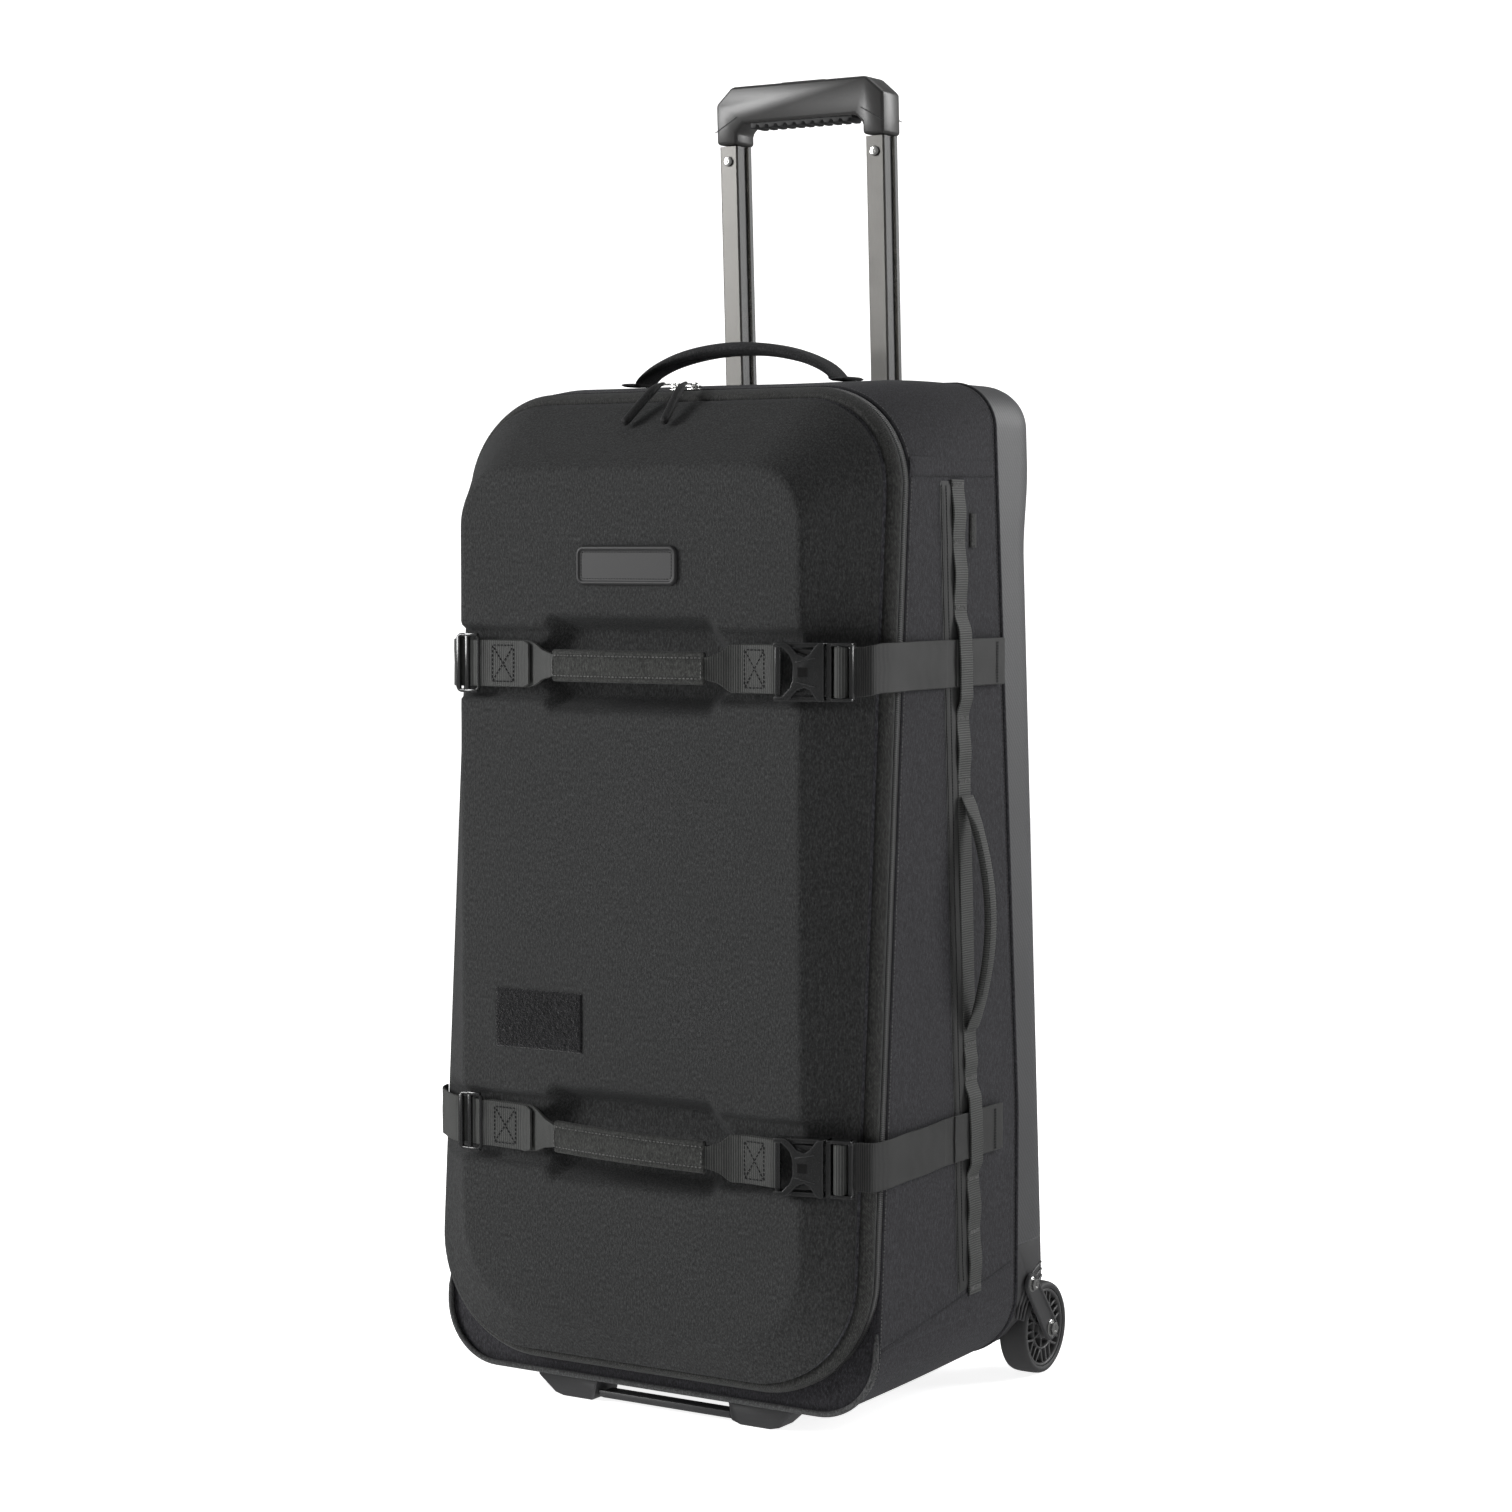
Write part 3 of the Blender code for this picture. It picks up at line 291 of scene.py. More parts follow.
def plastic_mat(name, base, rough, grain=1400.0, bump_s=0.12, wear=0.35, hatch=0.0, spec=0.5,
                coat=0.0, mott=0.2, metal=0.0):
    """Moulded plastic: fine grain, tone drift, polished worn edges, optional diagonal hatch."""
    m, nt, b = mat_new(name)
    ob = coords(nt)
    fine = noise_tex(nt, ob, grain, 3.0, 0.6)
    big = noise_tex(nt, ob, 14.0, 4.0)
    f = math_node(nt, "MULTIPLY_ADD", fine, 0.3, 0.35)
    f = math_node(nt, "MULTIPLY_ADD", big, mott, math_node(nt, "SUBTRACT", f, mott / 2))
    h = math_node(nt, "MULTIPLY", fine, 0.5)
    if hatch:
        sep = nd(nt, "ShaderNodeSeparateXYZ")
        link(nt, ob, sep.inputs[0])
        s = math_node(nt, "ADD", sep.outputs[0], sep.outputs[1])
        d1 = math_node(nt, "MULTIPLY_ADD", sep.outputs[2], 0.8, s)
        d2 = math_node(nt, "MULTIPLY_ADD", sep.outputs[2], -0.8, s)
        k = 2 * math.pi / hatch
        w1 = math_node(nt, "SINE", math_node(nt, "MULTIPLY", d1, k))
        w2 = math_node(nt, "SINE", math_node(nt, "MULTIPLY", d2, k))
        w = math_node(nt, "MULTIPLY_ADD", w1, 0.36, 0.5)
        w = math_node(nt, "MULTIPLY_ADD", math_node(nt, "MULTIPLY", w1, w2), 0.14, w)
        f = math_node(nt, "MULTIPLY_ADD", w, 0.22, math_node(nt, "SUBTRACT", f, 0.11))
        h = math_node(nt, "ADD", h, w)
    if wear:
        e = edge_wear(nt)
        e = math_node(nt, "MULTIPLY", e, math_node(nt, "MULTIPLY_ADD", big, 3.0, 0.6))
        f = math_node(nt, "MULTIPLY_ADD", e, wear * 2.2, f, clamp=True)
    col = ramp(nt, f, [(0.0, tuple(c * 0.55 for c in base)), (0.5, base),
                       (1.0, tuple(min(1, c * 2.1 + 0.012) for c in base))])
    link(nt, col, b.inputs["Base Color"])
    r = math_node(nt, "MULTIPLY_ADD", fine, 0.16, rough - 0.08)
    r = math_node(nt, "MULTIPLY_ADD", big, 0.12, math_node(nt, "SUBTRACT", r, 0.06), clamp=True)
    link(nt, r, b.inputs["Roughness"])
    b.inputs["Metallic"].default_value = metal
    b.inputs["Specular IOR Level"].default_value = spec
    b.inputs["Coat Weight"].default_value = coat
    b.inputs["Coat Roughness"].default_value = 0.18
    bump(nt, b, h, bump_s if not hatch else 0.3, 0.0003)
    return m


def metal_mat(name, base, rough, brushed=0.0, wear=0.0, grain=500.0):
    """Metal with fine brush lines along Z, smudges and scuffed edges."""
    m, nt, b = mat_new(name)
    ob = coords(nt)
    mp = nd(nt, "ShaderNodeMapping")
    mp.inputs["Scale"].default_value = (1.0, 1.0, 0.03 if brushed else 1.0)
    link(nt, ob, mp.inputs["Vector"])
    fine = noise_tex(nt, mp.outputs[0], 3200.0 if brushed else grain, 3.0, 0.7)
    big = noise_tex(nt, ob, 22.0, 4.0)
    f = math_node(nt, "MULTIPLY_ADD", fine, 0.45, 0.28)
    f = math_node(nt, "MULTIPLY_ADD", big, 0.3, math_node(nt, "SUBTRACT", f, 0.15))
    if wear:
        f = math_node(nt, "MULTIPLY_ADD", edge_wear(nt, 0.0015), wear, f, clamp=True)
    col = ramp(nt, f, [(0.0, tuple(c * 0.72 for c in base)), (0.5, base),
                       (1.0, tuple(min(1, c * 1.3) for c in base))])
    link(nt, col, b.inputs["Base Color"])
    b.inputs["Metallic"].default_value = 1.0
    r = math_node(nt, "MULTIPLY_ADD", fine, 0.14, rough - 0.07)
    r = math_node(nt, "MULTIPLY_ADD", big, 0.16, math_node(nt, "SUBTRACT", r, 0.08), clamp=True)
    link(nt, r, b.inputs["Roughness"])
    bump(nt, b, fine, 0.06, 0.0002)
    return m


def pile_mat(name, base):
    """Hook-and-loop pile: clumped dark loops with light fibre tips."""
    m, nt, b = mat_new(name)
    ob = coords(nt)
    v = nd(nt, "ShaderNodeTexVoronoi")
    v.inputs["Scale"].default_value = 620.0
    link(nt, ob, v.inputs["Vector"])
    n1 = noise_tex(nt, ob, 520.0, 4.0, 0.75)
    n2 = noise_tex(nt, ob, 60.0, 3.0)
    f = math_node(nt, "MULTIPLY_ADD", v.outputs["Distance"], -0.7, 0.75)
    f = math_node(nt, "MULTIPLY", f, math_node(nt, "MULTIPLY_ADD", n1, 1.5, 0.05))
    f = math_node(nt, "MULTIPLY_ADD", n2, 0.3, math_node(nt, "SUBTRACT", f, 0.12), clamp=True)
    col = ramp(nt, f, [(0.0, tuple(c * 0.15 for c in base)), (0.5, base),
                       (1.0, tuple(min(1, c * 3.4) for c in base))])
    link(nt, col, b.inputs["Base Color"])
    link(nt, math_node(nt, "MULTIPLY_ADD", n1, 0.1, 0.85), b.inputs["Roughness"])
    b.inputs["Sheen Weight"].default_value = 0.35
    b.inputs["Sheen Roughness"].default_value = 0.4
    b.inputs["Specular IOR Level"].default_value = 0.2
    bump(nt, b, f, 0.9, 0.0012)
    return m


M = {
    "lid": cloth_mat("lid_weave", (0.0225, 0.0229, 0.0231), 0.0013, weave_amt=0.5, sheen=0.16,
                     mottle=0.16),
    "case": cloth_mat("case_weave", (0.0205, 0.0200, 0.0228), 0.0015, weave_amt=0.55, sheen=0.2,
                      mottle=0.16),
    "handle": cloth_mat("handle_weave", (0.020, 0.020, 0.021), 0.0013, sheen=0.2),
    "binding": cloth_mat("binding_twill", (0.026, 0.0262, 0.0252), 0.0021, twill=True, rough=0.8,
                         sheen=0.3, bump_s=0.5),
    "tape": cloth_mat("zipper_tape_twill", (0.010, 0.010, 0.0102), 0.0012, twill=True, sheen=0.1),
    "piping": cloth_mat("piping_twill", (0.045, 0.0455, 0.046), 0.0016, twill=True, sheen=0.3),
    "web": web_mat("nylon_webbing", (0.034, 0.035, 0.0335)),
    "web_dark": web_mat("nylon_webbing_dark", (0.022, 0.0222, 0.022), 0.0018),
    "pad": cloth_mat("sleeve_weave", (0.027, 0.0275, 0.026), 0.0012, twill=True, sheen=0.3),
    "lining": cloth_mat("lining_cloth", (0.045, 0.045, 0.050), 0.0014, sheen=0.2),
    "pile": pile_mat("loop_pile", (0.011, 0.011, 0.0122)),
    "thread": cloth_mat("sewing_thread", (0.085, 0.085, 0.083), 0.0006, twill=True, rough=0.7,
                        sheen=0.3),
    "thread_dark": cloth_mat("sewing_thread_dark", (0.010, 0.010, 0.0105), 0.0006, twill=True,
                             rough=0.7),
    "coil": plastic_mat("zipper_coil", (0.040, 0.0405, 0.040), 0.42, wear=0.0, spec=0.5),
    "cord": cloth_mat("pull_cord", (0.013, 0.013, 0.0135), 0.0008, twill=True, rough=0.6),
    "shell": plastic_mat("back_shell_hatch", (0.050, 0.0505, 0.0530), 0.52, hatch=0.0042, wear=0.1,
                         spec=0.45, mott=0.14),
    "moulded": plastic_mat("moulded_black", (0.036, 0.036, 0.0375), 0.48, wear=0.35),
    "moulded_dk": plastic_mat("moulded_dark", (0.012, 0.012, 0.0125), 0.45, wear=0.3),
    "wheel": plastic_mat("wheel_web", (0.060, 0.060, 0.061), 0.42, wear=0.25),
    "tyre": plastic_mat("tyre", (0.032, 0.032, 0.033), 0.62, wear=0.1, grain=900.0, bump_s=0.2),
    "buckle": plastic_mat("buckle_acetal", (0.009, 0.0092, 0.0094), 0.24, wear=0.8, coat=0.4),
    "badge": plastic_mat("badge_rubber", (0.017, 0.017, 0.0175), 0.55, wear=0.4, grain=700.0,
                         bump_s=0.2),
    "rubber": plastic_mat("grip_rubber", (0.012, 0.012, 0.0125), 0.62, wear=0.2),
    "steel": metal_mat("nickel", (0.62, 0.62, 0.61), 0.20, wear=0.2),
    "bar": metal_mat("bar_satin", (0.135, 0.132, 0.126), 0.34, brushed=1.0),
    "bar_side": plastic_mat("bar_side_black", (0.006, 0.006, 0.006), 0.30, wear=0.0, spec=0.25),
    "bar_edge": metal_mat("bar_edge", (0.30, 0.295, 0.28), 0.25, brushed=1.0),
    "grip": plastic_mat("grip_satin", (0.030, 0.0295, 0.029), 0.36, wear=0.6, spec=0.5),
    "tube": metal_mat("tube_anodised", (0.14, 0.14, 0.14), 0.34, brushed=1.0),
}


# ---------------------------------------------------------------- mesh helpers
def finish_obj(name, bm, mats, body, smooth_shade=True, flip=None, auto=None, replaces=()):
    """bmesh in design millimetres -> object in the row frame, riding on its body."""
    bmesh.ops.translate(bm, verts=bm.verts, vec=SHIFT)
    bmesh.ops.scale(bm, verts=bm.verts, vec=(MM, MM, MM))
    if flip is not False:
        bmesh.ops.recalc_face_normals(bm, faces=bm.faces)
        if flip and sum(f.normal.dot(Vector(flip)) * f.calc_area() for f in bm.faces) < 0:
            bmesh.ops.reverse_faces(bm, faces=bm.faces)
    me = bpy.data.meshes.new(name)
    bm.to_mesh(me)
    bm.free()
    if smooth_shade:
        me.shade_smooth()
        if auto:
            me.set_sharp_from_angle(angle=math.radians(auto))
    ob = bpy.data.objects.new(name, me)
    bpy.context.scene.collection.objects.link(ob)
    for m in (mats if isinstance(mats, (list, tuple)) else [mats]):
        me.materials.append(m)
    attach(ob, body)
    if replaces:
        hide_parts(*replaces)
    return ob


def uv_layer(bm):
    return bm.loops.layers.uv.get("weave") or bm.loops.layers.uv.new("weave")


def outline(hw, z0, z1, rt, rb, seg=20, step=None):
    """Rounded rectangle in XZ, anticlockwise from the bottom right corner's start."""
    pts = []
    for cx, cz, r, a0 in ((hw - rb, z0 + rb, rb, -90), (hw - rt, z1 - rt, rt, 0),
                          (-hw + rt, z1 - rt, rt, 90), (-hw + rb, z0 + rb, rb, 180)):
        for k in range(seg + 1):
            a = math.radians(a0 + 90.0 * k / seg)
            pts.append((cx + r * math.cos(a), cz + r * math.sin(a)))
    if not step:
        return pts
    out = []
    n = len(pts)
    for i in range(n):
        p, q = pts[i], pts[(i + 1) % n]
        out.append(p)
        if i % (seg + 1) == seg:
            side = i // (seg + 1)
            m = step[side % 2]
            for j in range(1, m):
                t = j / m
                out.append((p[0] + (q[0] - p[0]) * t, p[1] + (q[1] - p[1]) * t))
    return out


def sweep_rings(rings, closed_ring=True, close_last=False, uvs=None):
    """Quads between rings of equal length, with the metric UV map."""
    bm = bmesh.new()
    rows = [[bm.verts.new(p) for p in r] for r in rings]
    n = len(rows[0])
    uv = uv_layer(bm)
    # arc lengths for the UVs
    if uvs is None:
        arc = []
        mid = rings[len(rings) // 2]
        d = 0.0
        for i in range(n + 1):
            arc.append(d)
            d += (Vector(mid[(i + 1) % n]) - Vector(mid[i % n])).length
        cross = [0.0]
        for a, b in zip(rings, rings[1:]):
            cross.append(cross[-1] + (Vector(b[0]) - Vector(a[0])).length)
        cross.append(cross[-1] + (Vector(rings[0][0]) - Vector(rings[-1][0])).length)
    m = len(rows)
    for a in range(m if close_last else m - 1):
        r0, r1 = rows[a], rows[(a + 1) % m]
        for i in range(n if closed_ring else n - 1):
            j = (i + 1) % n
            f = bm.faces.new((r0[i], r0[j], r1[j], r1[i]))
            if uvs is None:
                vals = ((arc[i], cross[a]), (arc[i + 1], cross[a]), (arc[i + 1], cross[a + 1]),
                        (arc[i], cross[a + 1]))
            else:
                vals = (uvs[a][i], uvs[a][j], uvs[(a + 1) % m][j], uvs[(a + 1) % m][i])
            for l, (u, v) in zip(f.loops, vals):
                l[uv].uv = (u * MM, v * MM)
    return bm, rows


def catmull(pts, per=6):
    """Smooth path through the points."""
    P = [Vector(p) for p in pts]
    out = []
    for i in range(len(P) - 1):
        p0, p1, p2, p3 = P[max(i - 1, 0)], P[i], P[i + 1], P[min(i + 2, len(P) - 1)]
        for k in range(per):
            t = k / per
            t2, t3 = t * t, t * t * t
            out.append(0.5 * ((2 * p1) + (p2 - p0) * t + (2 * p0 - 5 * p1 + 4 * p2 - p3) * t2
                              + (3 * p1 - p0 - 3 * p2 + p3) * t3))
    out.append(P[-1])
    return out


def densify(pts, step):
    P = [Vector(p) for p in pts]
    out = [P[0]]
    for a, b in zip(P, P[1:]):
        n = max(1, int(math.ceil((b - a).length / step)))
        out += [a + (b - a) * (k / n) for k in range(1, n + 1)]
    return out


def interp(vals, pos, x):
    return float(np.interp(x, pos, vals))


def sweep_section(path, wide, section, closed=True, caps=True, uvscale=1.0):
    """Sweeps section(i, s) -> [(w, t)] along path; w runs along `wide`, t outwards."""
    w = Vector(wide).normalized()
    n = len(path)
    s = [0.0]
    for a, b in zip(path, path[1:]):
        s.append(s[-1] + (b - a).length)
    rings = []
    for i, p in enumerate(path):
        d = (path[min(i + 1, n - 1)] - path[max(i - 1, 0)]).normalized()
        nrm = d.cross(w).normalized()
        rings.append([p + w * a + nrm * b for a, b in section(i, s[i])])
    m = len(rings[0])
    uvs = []
    for i, r in enumerate(rings):
        arc, d = [], 0.0
        for k in range(m):
            arc.append(d)
            d += (r[(k + 1) % m] - r[k]).length
        uvs.append([(s[i], a) for a in arc])
    bm, rows = sweep_rings(rings, closed_ring=closed, uvs=uvs)
    if caps and closed:
        bm.faces.new(rows[0])
        bm.faces.new(list(reversed(rows[-1])))
    return bm, s


def flat_section(width, thick, r=0.5):
    """Webbing cross-section: flat faces and round edges."""
    h, t = width / 2, thick / 2
    r = min(r, t)
    return [(h - r, t), (h * 0.5, t), (0, t), (-h * 0.5, t), (-h + r, t), (-h, 0),
            (-h + r, -t), (-h * 0.5, -t), (0, -t), (h * 0.5, -t), (h - r, -t), (h, 0)]


def ribbon(name, mat, body, path, wide, width, thick, replaces=(), wob=0.0, seed=1):
    """Webbing swept along a path; width and thick may be functions of the index fraction."""
    n = len(path)
    wf = width if callable(width) else (lambda t: width)
    tf = thick if callable(thick) else (lambda t: thick)
    rnd = random.Random(seed)
    ph = rnd.random() * 9

    def sec(i, s):
        t = i / (n - 1)
        pts = flat_section(wf(t), tf(t))
        if wob:
            pts = [(a, b + wob * math.sin(a * 0.22 + s * 0.05 + ph)) for a, b in pts]
        return pts

    bm, s = sweep_section(path, wide, sec)
    return finish_obj(name, bm, mat, body, replaces=replaces, auto=50)


def tube(name, mat, body, path, r, seg=10, cyclic=False, replaces=(), rf=None):
    """Round tube along a path, with the metric UV map."""
    P = [Vector(p) for p in path]
    n = len(P)
    rings = []
    up = None
    for i, p in enumerate(P):
        if cyclic:
            d = (P[(i + 1) % n] - P[(i - 1) % n]).normalized()
        else:
            d = (P[min(i + 1, n - 1)] - P[max(i - 1, 0)]).normalized()
        if up is None:
            up = Vector((0, 0, 1)) if abs(d.z) < 0.9 else Vector((1, 0, 0))
        a = d.cross(up).normalized()
        b = a.cross(d).normalized()
        up = b
        rad = rf(i / (n - 1)) if rf else r
        rings.append([p + a * rad * math.cos(2 * math.pi * k / seg)
                      + b * rad * math.sin(2 * math.pi * k / seg) for k in range(seg)])
    bm, rows = sweep_rings(rings, close_last=cyclic)
    if not cyclic:
        bm.faces.new(rows[0])
        bm.faces.new(list(reversed(rows[-1])))
    return finish_obj(name, bm, mat, body, replaces=replaces, auto=60)


def add_capsule(bm, a, b, r, out, seg=6, flat=0.7):
    """A thread-like capsule from a to b, flattened along `out`."""
    d = (b - a)
    if d.length < 1e-6:
        return
    dn = d.normalized()
    s = dn.cross(out).normalized()
    rings = []
    for t, k in ((0.0, 0.35), (0.12, 0.85), (0.5, 1.0), (0.88, 0.85), (1.0, 0.35)):
        c = a + d * t
        rings.append([bm.verts.new(c + s * r * k * math.cos(2 * math.pi * j / seg)
                                   + out * r * k * flat * math.sin(2 * math.pi * j / seg))
                      for j in range(seg)])
    for r0, r1 in zip(rings, rings[1:]):
        for j in range(seg):
            q = (j + 1) % seg
            bm.faces.new((r0[j], r0[q], r1[q], r1[j]))
    bm.faces.new(rings[0])
    bm.faces.new(list(reversed(rings[-1])))


def stitches(name, lines, body, mat=None, pitch=3.4, length=2.4, r=0.34):
    """Rows of stitches. Each line is [(point, outward normal), ...] in design mm."""
    bm = bmesh.new()
    uv_layer(bm)
    for line in lines:
        pts = [Vector(p) for p, _ in line]
        nrm = [Vector(o).normalized() for _, o in line]
        acc = [0.0]
        for a, b in zip(pts, pts[1:]):
            acc.append(acc[-1] + (b - a).length)
        total = acc[-1]

        def at(s):
            for i in range(len(acc) - 1):
                if s <= acc[i + 1] or i == len(acc) - 2:
                    t = (s - acc[i]) / max(1e-6, acc[i + 1] - acc[i])
                    return pts[i].lerp(pts[i + 1], t), nrm[i].lerp(nrm[i + 1], t).normalized()

        s = 0.4
        arr = np.array(acc)
        while s + length < total:
            i = min(len(acc) - 2, int(np.searchsorted(arr, s, side="right")) - 1)
            t = (s - acc[i]) / max(1e-6, acc[i + 1] - acc[i])
            p, o = pts[i].lerp(pts[i + 1], t), nrm[i].lerp(nrm[i + 1], t).normalized()
            i = min(len(acc) - 2, int(np.searchsorted(arr, s + length, side="right")) - 1)
            t = (s + length - acc[i]) / max(1e-6, acc[i + 1] - acc[i])
            q = pts[i].lerp(pts[i + 1], t)
            add_capsule(bm, p + o * r * 0.3, q + o * r * 0.3, r, o)
            s += pitch
    return finish_obj(name, bm, mat or M["thread"], body, flip=False)


def hard_copy(node, mat, body, bevel=1.0, seg=2, name=None, angle=35, extra=None):
    """A CAD node's own shape with rounded edges: the node's mesh is copied, never changed."""
    src = NODES[node]
    bm = bmesh.new()
    bm.from_mesh(src.data)
    bmesh.ops.remove_doubles(bm, verts=bm.verts, dist=2e-5)
    bmesh.ops.dissolve_limit(bm, angle_limit=math.radians(1.5), verts=bm.verts, edges=bm.edges)
    me = bpy.data.meshes.new(name or node + "_fine")
    bm.to_mesh(me)
    bm.free()
    ob = bpy.data.objects.new(name or node + "_fine", me)
    bpy.context.scene.collection.objects.link(ob)
    me.materials.append(mat)
    if bevel:
        m = ob.modifiers.new("edges", "BEVEL")
        m.width = bevel * MM
        m.segments = seg
        m.limit_method = "ANGLE"
        m.angle_limit = math.radians(angle)
        m.harden_normals = False
    dg = bpy.context.evaluated_depsgraph_get()
    me2 = bpy.data.meshes.new_from_object(ob.evaluated_get(dg))
    ob.modifiers.clear()
    ob.data = me2
    me2.shade_smooth()
    me2.set_sharp_from_angle(angle=math.radians(40))
    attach(ob, body)
    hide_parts(node)
    return ob


def poly_plate(bm, pts, frame_m, v0, v1):
    """Extrudes a (u, w) polygon between depths v0 and v1 in a local frame."""
    lo_ = [bm.verts.new(frame_m @ Vector((u, v0, w))) for u, w in pts]
    hi_ = [bm.verts.new(frame_m @ Vector((u, v1, w))) for u, w in pts]
    n = len(pts)
    for i in range(n):
        j = (i + 1) % n
        bm.faces.new((lo_[i], lo_[j], hi_[j], hi_[i]))
    bm.faces.new(lo_)
    bm.faces.new(list(reversed(hi_)))


def bevelled(name, bm, mats, body, width=0.6, seg=2, replaces=(), angle=35, auto=40):
    """Closed polygons with every sharp edge rounded."""
    bmesh.ops.translate(bm, verts=bm.verts, vec=SHIFT)
    bmesh.ops.scale(bm, verts=bm.verts, vec=(MM, MM, MM))
    bmesh.ops.recalc_face_normals(bm, faces=bm.faces)
    me = bpy.data.meshes.new(name)
    bm.to_mesh(me)
    bm.free()
    ob = bpy.data.objects.new(name, me)
    bpy.context.scene.collection.objects.link(ob)
    for m in (mats if isinstance(mats, (list, tuple)) else [mats]):
        me.materials.append(m)
    m = ob.modifiers.new("edges", "BEVEL")
    m.width = width * MM
    m.segments = seg
    m.limit_method = "ANGLE"
    m.angle_limit = math.radians(angle)
    dg = bpy.context.evaluated_depsgraph_get()
    me2 = bpy.data.meshes.new_from_object(ob.evaluated_get(dg))
    ob.modifiers.clear()
    ob.data = me2
    me2.shade_smooth()
    me2.set_sharp_from_angle(angle=math.radians(auto))
    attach(ob, body)
    if replaces:
        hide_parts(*replaces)
    return ob


def box_into(bm, x0, x1, y0, y1, z0, z1, mtx=None):
    vs = [Vector((x, y, z)) for z in (z0, z1) for y in (y0, y1) for x in (x0, x1)]
    if mtx:
        vs = [mtx @ v for v in vs]
    v = [bm.verts.new(p) for p in vs]
    for f in ((0, 1, 3, 2), (4, 6, 7, 5), (0, 4, 5, 1), (2, 3, 7, 6), (0, 2, 6, 4), (1, 5, 7, 3)):
        bm.faces.new([v[i] for i in f])


def lathe(bm, prof, cx, cy, cz, n=64, close=True):
    """Profile (radius, x) turned about the X axis through (cy, cz)."""
    rows = []
    for r, h in prof:
        rows.append([bm.verts.new((cx + h, cy + r * math.cos(2 * math.pi * i / n),
                                   cz + r * math.sin(2 * math.pi * i / n))) for i in range(n)])
    m = len(rows)
    for a in range(m if close else m - 1):
        r0, r1 = rows[a], rows[(a + 1) % m]
        for i in range(n):
            j = (i + 1) % n
            bm.faces.new((r0[i], r0[j], r1[j], r1[i]))


def fbm(x, y, z, s):
    return noise.noise(Vector((x / s, y / s, z / s)))


# ---------------------------------------------------------------- lid covering
def sdf_round(x, z, hx, z0, z1, rt, rb):
    """Signed distance to a rounded rectangle in XZ."""
    r = rt if z > (z0 + z1) / 2 else rb
    qx, qz = abs(x) - (hx - r), abs(z - (z0 + z1) / 2) - ((z1 - z0) / 2 - r)
    return math.hypot(max(qx, 0), max(qz, 0)) + min(max(qx, qz), 0) - r


def recess(x, z):
    d = 0.0
    for zc in (UP_Z, LO_Z):
        h = z - zc
        top = 40.0 if h > 0 else 38.0
        e1 = (top - abs(h)) / 13.0
        e2 = (112.0 - abs(x - HEX_X) - 0.92 * abs(h)) * 0.72 / 17.0
        e = clamp01(min(e1, e2))
        hexa = 21.0 * (0.8 * e + 0.2 * smooth(e))
        chan = 8.0 * smooth(clamp01((h + 30) / 6)) * smooth(clamp01((32 - h) / 6))
        d = max(d, hexa, chan)
    return d


def lid_y(x, z):
    d_in = max(0.0, sdf_round(x, z, FLAT_X, FLAT_Z0, FLAT_Z1, 44, 72))
    d_out = max(0.0, -sdf_round(x, z, HALF_W - LID_IN, LID_Z0 + LID_IN, LID_Z1 - LID_IN,
                                LID_RT - LID_IN, LID_RB - LID_IN))
    if d_in <= 0:
        t = 0.0
    else:
        t = d_in / (d_in + d_out) if d_in + d_out > 0 else 1.0
    w = 0.12
    g = (t * t / (2 * w) if t < w else t - w / 2) / (1 - w / 2)
    y = (rim_y(z) - 15.5) * g
    y += recess(x, z) * (1 - t) ** 0.8
    # padded cloth over foam: slow waves
    y += 0.35 * fbm(x, 3.1, z, 60.0) + 0.12 * fbm(x, 9.4, z, 17.0)
    return max(y, 0.05)


def rim_point(x, z):
    """As in the frame: where a point on the flat front's border runs to."""
    half_w, z0, z1 = HALF_W - LID_IN, LID_Z0 + LID_IN, LID_Z1 - LID_IN
    rt, rb = LID_RT - LID_IN, LID_RB - LID_IN
    if abs(abs(x) - FLAT_X) < 1e-6:
        s = 1.0 if x > 0 else -1.0
        if z > z1 - rt:
            a = math.radians(45 * (z - (z1 - rt)) / (FLAT_Z1 - (z1 - rt)))
            return (s * (half_w - rt + rt * math.cos(a)), z1 - rt + rt * math.sin(a))
        if z < z0 + rb:
            a = math.radians(45 * (z0 + rb - z) / (z0 + rb - FLAT_Z0))
            return (s * (half_w - rb + rb * math.cos(a)), z0 + rb - rb * math.sin(a))
        return (s * half_w, z)
    top = z > 400
    r = rt if top else rb
    x1 = half_w - r
    if abs(x) <= x1:
        return (x, z1 if top else z0)
    a = math.radians(90 - 45 * (abs(x) - x1) / (FLAT_X - x1))
    cz = z1 - r if top else z0 + r
    return (math.copysign(x1 + r * math.cos(a), x), cz + r * math.sin(a) * (1 if top else -1))


